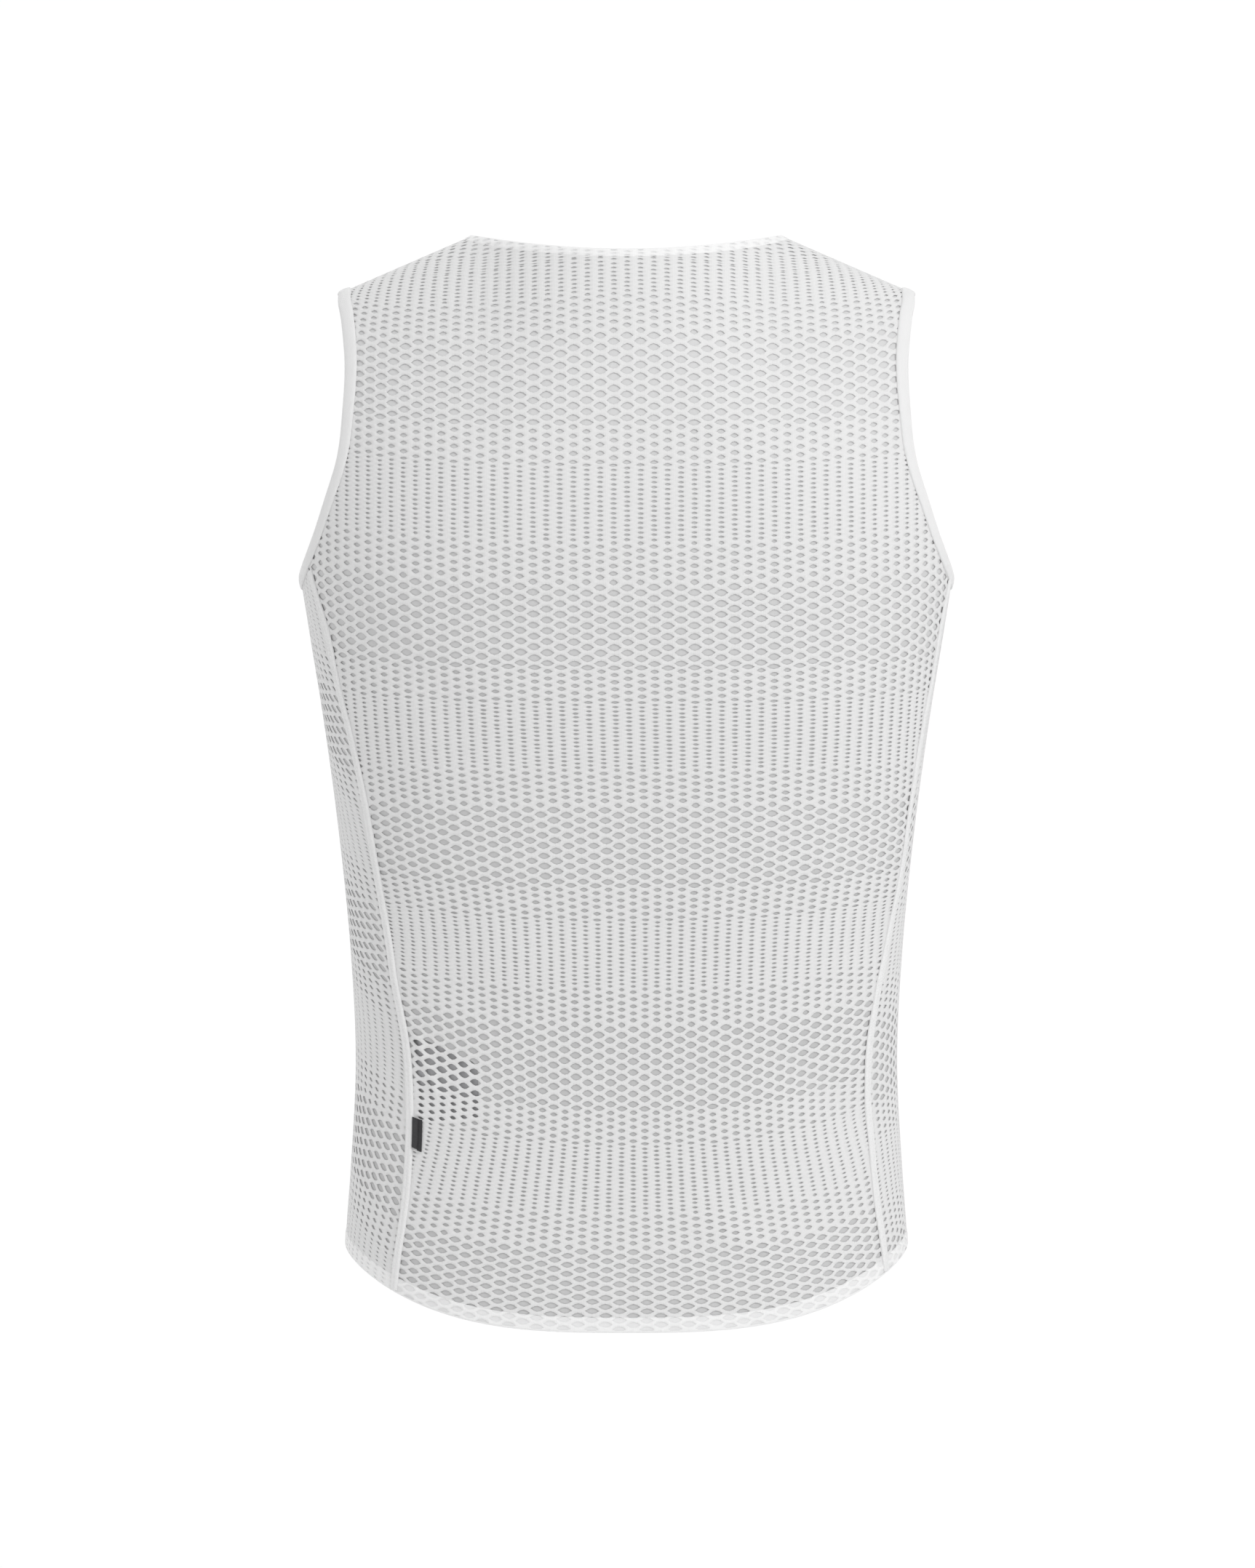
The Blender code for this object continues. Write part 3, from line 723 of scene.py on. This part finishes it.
def grid_faces(count, columns):
    """Triangles of a grid whose rows run upwards and whose columns run to the right."""
    number = np.arange(count * columns).reshape(count, columns)
    corners = number[:-1, :-1], number[:-1, 1:], number[1:, 1:], number[1:, :-1]
    a, b, c, d = (corner.ravel() for corner in corners)
    return np.concatenate([np.stack([a, b, c], 1), np.stack([a, c, d], 1)])


def cut(rows, faces, keep):
    """The mesh where keep isn't below zero, with triangles cut along the border."""
    inside = keep >= 0
    count = inside[faces].sum(1)
    mixed = faces[(count == 1) | (count == 2)]
    lone = inside[mixed] == (inside[mixed].sum(1) == 1)[:, None]
    first = lone.argmax(1)
    a, b, c = (mixed[np.arange(len(mixed)), (first + k) % 3] for k in range(3))
    edges = np.sort(np.concatenate([np.stack([a, b], 1), np.stack([a, c], 1)]), 1)
    edges, place = np.unique(edges, axis=0, return_inverse=True)
    place = place.reshape(-1) + len(rows)
    ab, ac = place[: len(a)], place[len(a):]
    start, end = edges.T
    share = (keep[start] / (keep[start] - keep[end]))[:, None]
    kept = inside[a]
    faces = [
        faces[count == 3],
        np.stack([a, ab, ac], 1)[kept],
        np.stack([ab, b, c], 1)[~kept],
        np.stack([ab, c, ac], 1)[~kept],
    ]
    added = rows[start] + share * (rows[end] - rows[start])
    return compact(np.concatenate([rows, added]), np.concatenate(faces))


def compact(rows, faces):
    used, faces = np.unique(faces, return_inverse=True)
    return rows[used], faces.reshape(-1, 3)


def joined(*meshes):
    """Several meshes as one."""
    starts = np.cumsum([0] + [len(rows) for rows, _ in meshes[:-1]])
    faces = [faces + start for (_, faces), start in zip(meshes, starts)]
    return np.concatenate([rows for rows, _ in meshes]), np.concatenate(faces)


# Where each piece ends


def apart(points, curve):
    """How far each point is from a curve."""
    dense = even(curve, int(lengths(curve)[-1] / CURVE_STEP))
    tree = KDTree(len(dense))
    for k, point in enumerate(dense):
        tree.insert(point, k)
    tree.balance()
    return np.array([tree.find(point)[2] for point in points])


def from_edge(points, inside, near, edge):
    """Distance from an edge, with inside's sign. It is measured where near holds, and FAR elsewhere."""
    distance = np.where(inside > 0, FAR, -FAR)
    distance[near] = np.sign(inside[near]) * apart(points[near], edge)
    return distance


def from_neck(points):
    """Distance into the cloth from the neck's free edge, below zero past it."""
    x, y, height = points.T
    near = (height > -NECK_DROP_FRONT - EDGE_REACH) & (np.abs(x) < NECK_HALF_WIDTH + NECK_REACH)
    return from_edge(points, neck_height(x, y > 0) - height, near, NECK_EDGE)


def from_hem(points):
    """Distance into the cloth from the hem's free edge, below zero past it."""
    x, y, height = points.T
    free = hem_height(x / smooth(FORM, "half_width", height), y > smooth(FORM, "middle", height))
    return from_edge(points, height - free, np.abs(height - free) < EDGE_REACH, HEM_EDGE)


def from_armhole(points):
    """Distance out of the armhole, as seen from the side."""
    x, y, height = points.T
    outline = closed_spline(ARMHOLE, 128)
    distance = np.full(len(points), float(FAR))
    near = (np.abs(x) > NECK_HALF_WIDTH) & (np.abs(y) < ARMHOLE_REACH) & (height > ARMHOLE_LOW)
    flat = np.stack([y, height], -1)[near]
    least = np.full(len(flat), float(FAR))
    crossings = np.zeros(len(flat), int)
    for start, end in zip(outline[:-1], outline[1:]):
        line = end - start
        t = np.clip(((flat - start) @ line) / (line @ line), 0, 1)
        least = np.minimum(least, np.linalg.norm(flat - start - t[:, None] * line, axis=1))
        straddles = (start[1] > flat[:, 1]) != (end[1] > flat[:, 1])
        if start[1] != end[1]:
            reach = start[0] + (flat[:, 1] - start[1]) / (end[1] - start[1]) * line[0]
            crossings += straddles & (flat[:, 0] < reach)
    distance[near] = np.where(crossings % 2 == 1, -least, least)
    return distance


def seam_limits(front):
    """Fields that end a panel at its side seams and shoulder seams."""

    def left(points):
        return points[:, 0] - side_seam_x(points[:, 2], False)

    def right(points):
        return side_seam_x(points[:, 2], True) - points[:, 0]

    def shoulder(points):
        return np.where(points[:, 2] > SHOULDER_LOW, SHOULDER_SEAM_FORWARD - points[:, 1], FAR)

    def sides_of_front(points):
        beyond = np.maximum(-left(points), -right(points))
        return np.where(points[:, 1] > smooth(FORM, "middle", points[:, 2]), FAR, beyond)

    def shoulder_of_front(points):
        return np.where(points[:, 2] > FRONT_LOW, points[:, 1] - SHOULDER_SEAM_FORWARD, FAR)

    return (sides_of_front, shoulder_of_front) if front else (left, right, shoulder)


def trimmed(mesh, front):
    """A panel's mesh, ended at its seams and under the armhole bindings."""
    rows, faces = mesh
    rows, faces = cut(rows, faces, from_armhole(rows[:, :3]) - UNDER_BINDING)
    for limit in seam_limits(front):
        rows, faces = cut(rows, faces, limit(rows[:, :3]))
    return rows, faces


def panel_only(mesh):
    """The part of a mesh between the neck band and the hem band."""
    rows, faces = mesh
    rows, faces = cut(rows, faces, from_neck(rows[:, :3]) - NECK_BAND + UNDER)
    return cut(rows, faces, from_hem(rows[:, :3]) - HEM_BAND + UNDER)


def band_only(mesh, distance, width):
    """The outer layer of a folded band, up to where its edge begins to roll."""
    rows, faces = mesh
    rows, faces = cut(rows, faces, width - distance(rows[:, :3]))
    return cut(rows, faces, distance(rows[:, :3]) - ROLL)


def laid(rows, rise=0.0):
    """Points of the finished cloth: raised or sunk from the form, with its soft creases."""
    points = rows[:, :3]
    return points + outward(points) * (rise - rows[:, DEPTH] + relief(points))[:, None]


def squares(points, faces):
    """A vector square to each triangle, as long as twice its area."""
    corners = points[faces]
    return np.cross(corners[:, 1] - corners[:, 0], corners[:, 2] - corners[:, 0])


def facing(points, faces, sunk=None):
    """Smooth normals. The flat face of the cloth rolls softly into the rims of its eyelets."""
    square = squares(points, faces)
    total = np.zeros_like(points)
    turned = np.zeros_like(points)
    level = np.ones(len(faces), bool) if sunk is None else ~sunk[faces].any(1)
    for k in range(3):
        np.add.at(total, faces[level, k], square[level])
        np.add.at(turned, faces[~level, k], square[~level])
    return unit(unit(total) + RIM_ROLL * unit(turned))


# Objects


def add_piece(name, points, faces, fabric, materials, nodes, normals=None, material_of=None):
    """A visible piece. fabric is each point's place on the flat cloth in millimetres."""
    mesh = bpy.data.meshes.new(name)
    mesh.from_pydata((points * MM).tolist(), [], faces.tolist())
    low, high = fabric.min(0), fabric.max(0)
    for layer, places in (("OFBake", (fabric - low) / (high - low).max()), ("Fabric", fabric / FABRIC_UNIT)):
        uv = mesh.uv_layers.new(name=layer)
        uv.data.foreach_set("uv", places[faces.ravel()].astype(np.float32).ravel())
    for material in materials:
        mesh.materials.append(material)
    if material_of is not None:
        mesh.polygons.foreach_set("material_index", material_of.astype(np.int32))
    mesh.shade_smooth()
    if normals is not None:
        mesh.normals_split_custom_set_from_vertices(normals.tolist())
    mesh.update()
    made = bpy.data.objects.new(name, mesh)
    bpy.context.scene.collection.objects.link(made)
    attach(made, "root")
    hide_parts(*nodes)
    return made


def fabric_of(rows, pitch=WALE_PITCH):
    """Places on the flat cloth, in millimetres."""
    return np.stack([rows[:, WALE] * pitch, rows[:, NOMINAL]], -1)


def between(mesh, low, high):
    """The triangles of a mesh whose middles lie between two wales."""
    rows, faces = mesh
    middle = rows[:, WALE][faces].mean(1)
    return faces[(middle > low) & (middle <= high)]


def add_panel(front, materials):
    """A panel of open net, in as many pieces as its stitches need, and the ground behind it."""
    lattice = Lattice(front)
    node = "front_panel" if front else "back_panel"
    pitch = FRONT_PITCH if front else WALE_PITCH

    def add_cloth(name, points, rows, faces, look, normals):
        """One piece, with the flat places of its own stretch of the whole cloth as its UV maps."""
        fabric = fabric_of(rows, pitch)
        piece = add_piece(name, points, faces, fabric, [materials[look]], [node], normals)

    mesh = panel_only(trimmed(net(lattice, near_cloth), front))
    sheet = panel_only(trimmed(ground(lattice, GROUND), front))
    points = laid(mesh[0])
    normals = facing(points, mesh[1], mesh[0][:, DEPTH] > 0)
    edges = FRONT_SPLITS if front else BACK_SPLITS
    for part, (low, high) in enumerate(zip(edges[:-1], edges[1:])):
        used, faces = np.unique(between(mesh, low, high), return_inverse=True)
        add_cloth(
            f"{node}_net_{part + 1}", points[used], mesh[0][used], faces.reshape(-1, 3), "mesh",
            normals[used],
        )
    if not front:
        sheet = cut(*sheet, off_care_label(sheet[0][:, :3]))
    rows, faces = sheet
    points = laid(rows)
    # The ground's grey look is painted shade, for the shade behind the eyelets.
    add_cloth(f"{node}_ground", points, rows, faces, "ground", facing(points, faces))


def care_label_edges(share):
    """Heights of the care label's lower and upper edge, this share of the way from the seam."""
    low, high = (near + (far - near) * share for near, far in zip(CARE_SEAM_EDGE, CARE_FAR_EDGE))
    return low, high


def off_care_label(points):
    """Above zero away from the middle of the care label, where the ground is left open."""
    x, y, height = points.T
    across = x - side_seam_x(height, False) - SEAM_RIBBON / 2
    low, high = care_label_edges(np.clip(across / CARE_REACH, 0, 1))
    beyond = low + CARE_LAP - height, height - high + CARE_LAP
    beside = across - CARE_REACH + CARE_LAP, CARE_LAP - across
    return np.max([*beyond, *beside], axis=0)


def beside_seam(across, height, lift):
    """Points this far to the right of the left side seam's middle, raised from the form."""
    points = on_form(side_seam_x(height, False) + across, height, False)
    raised = lift + relief(points.reshape(-1, 3)).reshape(height.shape)
    return points + outward(points) * raised[..., None]


def shares(rows, columns):
    """The share of the way up and across at each point of a grid."""
    return np.meshgrid(np.linspace(0, 1, rows), np.linspace(0, 1, columns), indexing="ij")


def add_tab(materials):
    """The folded tab in the left side seam, in plain woven tape with looped edges."""
    layers = []
    for layer in TAB_LAYERS:
        up, out = shares(TAB_ROWS, TAB_COLUMNS)
        turn = up * (layer.head - layer.foot) / TAB_TOOTH_PITCH
        across = layer.near + (layer.far - layer.near) * out
        across = across + TAB_TOOTH * np.abs(2 * (turn % 1) - 1) * (2 * out - 1)
        height = layer.foot + (layer.head - layer.foot) * up + TAB_SLOPE * (across - layer.near)
        layers.append(slab(beside_seam(across, height, layer.lift), TAB_THICKNESS))
    points, faces = joined(*layers)
    fabric = points[:, [0, 2]]
    add_piece("tab_label_tape", points, faces, fabric, [materials["black"]], ["tab_label"])


def add_care_label(materials):
    """The bare label inside the left side seam."""
    up, out = shares(CARE_ROWS, CARE_COLUMNS)
    low, high = care_label_edges(out)
    height = low + (high - low) * up
    across = SEAM_RIBBON / 2 + CARE_REACH * out
    wave = CARE_WAVE * np.sin(2 * np.pi * (across + 0.4 * height) / CARE_WAVE_LENGTH)
    grid = beside_seam(across, height, wave - CARE_DEPTH)
    fabric = np.stack([across, height], -1).reshape(-1, 2)
    points, faces = grid.reshape(-1, 3), grid_faces(CARE_ROWS, CARE_COLUMNS)
    piece = add_piece(
        "care_label_satin", points, faces, fabric, [materials["satin"]], ["care_label"]
    )


def near_cloth(points):
    """Whether a point is on the garment or close to its border."""
    x, y, height = points.T
    past_neck = neck_height(x, y > 0) - height < -NET_MARGIN
    return ~past_neck & (height > HEM_BACK - NET_MARGIN)


def near_band(distance, width):
    def near(points):
        return np.abs(distance(points) - width / 2) < width / 2 + BAND_MARGIN

    return near


def inset(curve, width, away, closed=True):
    """The curve moved sideways over the form, away from a point."""
    if closed:
        run = np.roll(curve[:-1], -1, 0) - np.roll(curve[:-1], 1, 0)
        run = np.concatenate([run, run[:1]])
    else:
        run = np.gradient(curve, axis=0)
    side = unit(np.cross(outward(curve), run))
    if ((curve - np.array(away)) * side).sum() < 0:
        side = -side
    return drape(curve + side * width)


def strip(curve, profile, away, closed=True):
    """Rows of points along a curve. The profile gives their distance from it and their height."""
    columns = []
    for distance, height in profile:
        points = inset(curve, distance, away, closed)
        columns.append(points + outward(points) * (height + relief(points))[:, None])
    return np.stack(columns, 1)


def strip_fabric(grid):
    """Places of a grid's points on the flat strip."""
    along_it = lengths(grid.mean(1))
    across = np.concatenate([[0], np.cumsum(np.linalg.norm(np.diff(grid, axis=1), axis=2).mean(0))])
    return np.stack(np.meshgrid(along_it, across, indexing="ij"), -1).reshape(-1, 2)


def stitched_ribbon(seam, away):
    """The raised ribbon of stitches along a seam."""
    grid = strip(seam, RIBBON, away, False)
    across = np.array([step.distance for step in RIBBON])
    reach = np.abs(across) / across.max()
    turn = lengths(seam)[:, None] / STITCH_PITCH + np.abs(across) * STITCH_SLANT
    thread = np.abs(np.sin(np.pi * turn)) * np.sin(np.pi * np.clip(reach, 0, 1)) ** 0.5
    rise = STITCH_HEIGHT * (thread - 0.5) * (reach < 0.95)
    run = lengths(seam)[:, None]
    low = np.array([step.height for step in RIBBON]) - RIBBON[0].height
    ended = ease(np.minimum(run, run[-1] - run) / RIBBON_END)
    return grid + outward(grid) * (rise * ended - low * (1 - ended))[..., None]


def slab(grid, thickness):
    """A closed plate under a grid of points, as points and faces."""
    count, columns = grid.shape[:2]
    top = grid.reshape(-1, 3)
    points = np.concatenate([top, top - outward(top) * thickness])
    faces = grid_faces(count, columns)
    number = np.arange(count * columns).reshape(count, columns)
    border = np.concatenate([number[0], number[1:, -1], number[-1, -2::-1], number[-2:0:-1, 0]])
    after = np.roll(border, -1)
    below = len(top)
    sides = np.concatenate([
        np.stack([border, border + below, after], 1), np.stack([after, border + below, after + below], 1)
    ])
    return points, np.concatenate([faces, faces[:, ::-1] + below, sides])


def add_strip(name, grid, material, nodes, flip):
    count, columns = grid.shape[:2]
    faces = grid_faces(count, columns)
    if flip:
        faces = faces[:, ::-1]
    fabric = strip_fabric(grid)
    piece = add_piece(name, grid.reshape(-1, 3), faces, fabric, [material], nodes)


def add_folded_band(node, lattices, distance, width, edge, away, materials, flip):
    """A folded band of the net itself: an outer layer, a rolled edge and a plain inner layer."""
    outer = []
    for lattice in lattices:
        knit = net(lattice, near_band(distance, width), BAND_RIM, closed=True)
        outer.append(band_only(trimmed(knit, lattice.front), distance, width))
    rows, faces = joined(*outer)
    rise = RISE * ease((width - distance(rows[:, :3])) / BAND_SLOPE)
    points = laid(rows, rise)
    fold = strip(edge, [(d if d <= FOLD_ROLLED else d / HEM_BAND * width, h) for d, h in FOLD], away)
    fold_faces = grid_faces(*fold.shape[:2])
    if flip:
        fold_faces = fold_faces[:, ::-1]
    fabric = np.concatenate([fabric_of(rows), strip_fabric(fold) + FOLD_APART])
    faces = np.concatenate([faces, fold_faces + len(points)])
    points = np.concatenate([points, fold.reshape(-1, 3)])
    sunk = np.concatenate([rows[:, DEPTH] > 0, np.zeros(len(points) - len(rows), bool)])
    normals = facing(points, faces, sunk)
    # The eyelets' floors take the darker look: painted shade in their recesses.
    shaded_floors = sunk[faces].all(1).astype(int)
    piece = add_piece(
        node + "_fold", points, faces, fabric, [materials["band"], materials["ghost"]], [node],
        normals, shaded_floors,
    )


# Materials


class Nodes:
    """A material's nodes, added from left to right."""

    def __init__(self, name):
        self.material = bpy.data.materials.new(name)
        self.material.use_nodes = True
        self.tree = self.material.node_tree
        self.shader = self.tree.nodes["Principled BSDF"]
        self.output = self.tree.nodes["Material Output"]

    def add(self, kind, inputs=(), **settings):
        node = self.tree.nodes.new(kind)
        for key, value in settings.items():
            setattr(node, key, value)
        for key, value in dict(inputs).items():
            if isinstance(value, bpy.types.NodeSocket):
                self.tree.links.new(value, node.inputs[key])
            else:
                node.inputs[key].default_value = value
        return node

    def math(self, operation, a, b=0.0):
        return self.add("ShaderNodeMath", {0: a, 1: b}, operation=operation).outputs[0]

    def fabric(self):
        """Across and along the flat cloth, in units of FABRIC_UNIT."""
        place = self.add("ShaderNodeUVMap", uv_map="Fabric")
        parts = self.add("ShaderNodeSeparateXYZ", {0: place.outputs[0]})
        return place.outputs[0], parts.outputs[0], parts.outputs[1]

    def wave(self, value, length, shift=0.0):
        """A triangle wave from 0 to 1 that repeats each length, in millimetres."""
        turned = self.math("MULTIPLY_ADD", value, FABRIC_UNIT / length)
        turned.node.inputs[2].default_value = shift
        return self.math("MULTIPLY", self.math("PINGPONG", turned, 0.5), 2.0)


def fill_ramp(ramp, tones):
    """Sets a colour ramp to a table's greys, from its first row's place to its last one's."""
    stops = ramp.color_ramp.elements
    first, last = tones[0][0], tones[-1][0]
    while len(stops) < len(tones):
        stops.new(0.5)
    for stop, (place, tone) in zip(stops, tones):
        stop.position = (place - first) / (last - first)
        stop.color = (tone, tone, tone, 1)


def cloth_material(look):
    """Close knit: columns of slanting loops, with a soft fibrous surface and a little unevenness."""
    nodes = Nodes(look.name)
    place, across, along_it = nodes.fabric()
    loop_width, loop_height = look.loop
    column = nodes.wave(across, loop_width)
    leaning = nodes.math("MULTIPLY_ADD", column, look.slant * loop_height / FABRIC_UNIT)
    leaning.node.inputs[2].default_value = 0.0
    row = nodes.wave(nodes.math("ADD", along_it, leaning), loop_height)
    loops = nodes.math("MULTIPLY", nodes.math("POWER", column, 0.6), nodes.math("ADD", row, 0.35))
    fibre = nodes.add(
        "ShaderNodeTexNoise", {"Vector": place, "Scale": FABRIC_UNIT / 0.55, "Detail": 3.0, "Roughness": 0.6}
    ).outputs["Fac"]
    patches = nodes.add("ShaderNodeTexNoise", {"Vector": place, "Scale": FABRIC_UNIT / 24, "Detail": 2.0})
    height = nodes.math("MULTIPLY_ADD", fibre, 0.45)
    nodes.tree.links.new(loops, height.node.inputs[2])
    bumped = nodes.add("ShaderNodeBump", {"Height": height, "Strength": look.bump, "Distance": 0.25 * MM})
    # Painted shade: the gaps between the loops are darker. The large patches are a random unevenness of tone.
    tone = nodes.math("MULTIPLY_ADD", loops, look.shade)
    patchy = nodes.math("MULTIPLY_ADD", patches.outputs["Fac"], 0.5 * look.shade)
    nodes.tree.links.new(patchy, tone.node.inputs[2])
    patchy.node.inputs[2].default_value = 1 - look.shade * 1.25
    # Painted shade: a grey ramp by height along the cloth, darkest at the waist.
    if look.tones:
        lowest, highest = (row.height / FABRIC_UNIT for row in (look.tones[0], look.tones[-1]))
        share = nodes.add("ShaderNodeMapRange", {0: along_it, 1: lowest, 2: highest}).outputs[0]
        ramp = nodes.add("ShaderNodeValToRGB", {0: share})
        fill_ramp(ramp, look.tones)
        tone = nodes.math("MULTIPLY", tone, ramp.outputs[0])
    mix = nodes.add("ShaderNodeVectorMath", {0: look.colour, "Scale": tone}, operation="SCALE").outputs[0]
    shader = nodes.shader
    nodes.tree.links.new(mix, shader.inputs["Base Color"])
    nodes.tree.links.new(bumped.outputs[0], shader.inputs["Normal"])
    shader.inputs["Roughness"].default_value = look.rough
    shader.inputs["Sheen Weight"].default_value = look.sheen
    shader.inputs["Sheen Roughness"].default_value = 0.5
    shader.inputs["Specular IOR Level"].default_value = 0.25
    if look.through:
        back = nodes.add("ShaderNodeBsdfTranslucent", {"Color": mix, "Normal": bumped.outputs[0]})
        both = nodes.add(
            "ShaderNodeMixShader", {0: look.through, 1: shader.outputs[0], 2: back.outputs[0]}
        )
        nodes.tree.links.new(both.outputs[0], nodes.output.inputs["Surface"])
    return nodes.material


# The scene around it


def add_camera():
    camera = bpy.data.cameras.new("camera")
    camera.sensor_fit = "HORIZONTAL"
    camera.sensor_width = SENSOR
    camera.lens = SENSOR * FOCAL_PX / PHOTO_WIDTH
    made = bpy.data.objects.new("camera", camera)
    made.location = CAMERA_PLACE
    made.rotation_euler = Euler((np.pi / 2 - np.radians(CAMERA_DOWN), 0, 0))
    bpy.context.scene.collection.objects.link(made)
    bpy.context.scene.camera = made


def add_light(name, place, size, power):
    lamp = bpy.data.lights.new(name, "AREA")
    lamp.energy = power
    lamp.size = size
    made = bpy.data.objects.new(name, lamp)
    made.location = place
    made.rotation_euler = (Vector(place) - Vector(LIGHT_TARGET)).to_track_quat("Z", "Y").to_euler()
    bpy.context.scene.collection.objects.link(made)


def add_stage():
    mesh = bpy.data.meshes.new("floor")
    half = FLOOR_SIZE / 2
    corners = [(-half, -half), (half, -half), (half, half), (-half, half)]
    mesh.from_pydata([(x, y, FLOOR_HEIGHT) for x, y in corners], [], [(0, 1, 2, 3)])
    nodes = Nodes("pale_floor")
    nodes.shader.inputs["Base Color"].default_value = FLOOR_COLOUR
    nodes.shader.inputs["Roughness"].default_value = 0.9
    mesh.materials.append(nodes.material)
    floor = bpy.data.objects.new("floor", mesh)
    bpy.context.scene.collection.objects.link(floor)
    world = bpy.data.worlds.new("white_surround")
    world.use_nodes = True
    tree = world.node_tree
    direction = tree.nodes.new("ShaderNodeTexCoord")
    parts = tree.nodes.new("ShaderNodeSeparateXYZ")
    share = tree.nodes.new("ShaderNodeMapRange")
    share.inputs[1].default_value = -1
    ramp = tree.nodes.new("ShaderNodeValToRGB")
    fill_ramp(ramp, SKY)
    tree.links.new(direction.outputs["Generated"], parts.inputs[0])
    tree.links.new(parts.outputs[2], share.inputs[0])
    tree.links.new(share.outputs[0], ramp.inputs[0])
    tree.links.new(ramp.outputs[0], tree.nodes["Background"].inputs[0])
    tree.nodes["Background"].inputs[1].default_value = WORLD_LIGHT
    bpy.context.scene.world = world
    bpy.context.scene.view_settings.view_transform = "Standard"


NECK_EDGE = neck_edge(NECK_STEPS)
HEM_EDGE = hem_edge(HEM_STEPS)


def main():
    add_camera()
    add_stage()
    for light in LIGHTS:
        add_light(*light)
    materials = {look.key: cloth_material(look) for look in LOOKS}
    add_panel(False, materials)
    add_panel(True, materials)
    lattices = Lattice(False), Lattice(True)
    add_folded_band("neck_band", lattices, from_neck, NECK_BAND, NECK_EDGE, ABOVE_NECK, materials, False)
    add_folded_band("hem_band", lattices, from_hem, HEM_BAND, HEM_EDGE, BELOW_HEM, materials, True)
    for side, right in (("left", False), ("right", True)):
        node = f"armhole_binding_{side}"
        grid = strip(armhole_edge(right, ARMHOLE_STEPS), BINDING, BESIDE[side])
        add_strip(f"{node}_tape", grid, materials["tape"], [node], right)
        seams = (
            (f"side_seam_{side}", side_seam(right, SIDE_STEPS), False),
            (f"shoulder_seam_{side}", shoulder_seam(right, *SHOULDER_STITCHES, SHOULDER_STEPS), right),
        )
        for node, seam, flip in seams:
            grid = stitched_ribbon(seam, BEHIND)
            add_strip(f"{node}_stitching", grid, materials["thread"], [node], flip)
    add_tab(materials)
    add_care_label(materials)


main()
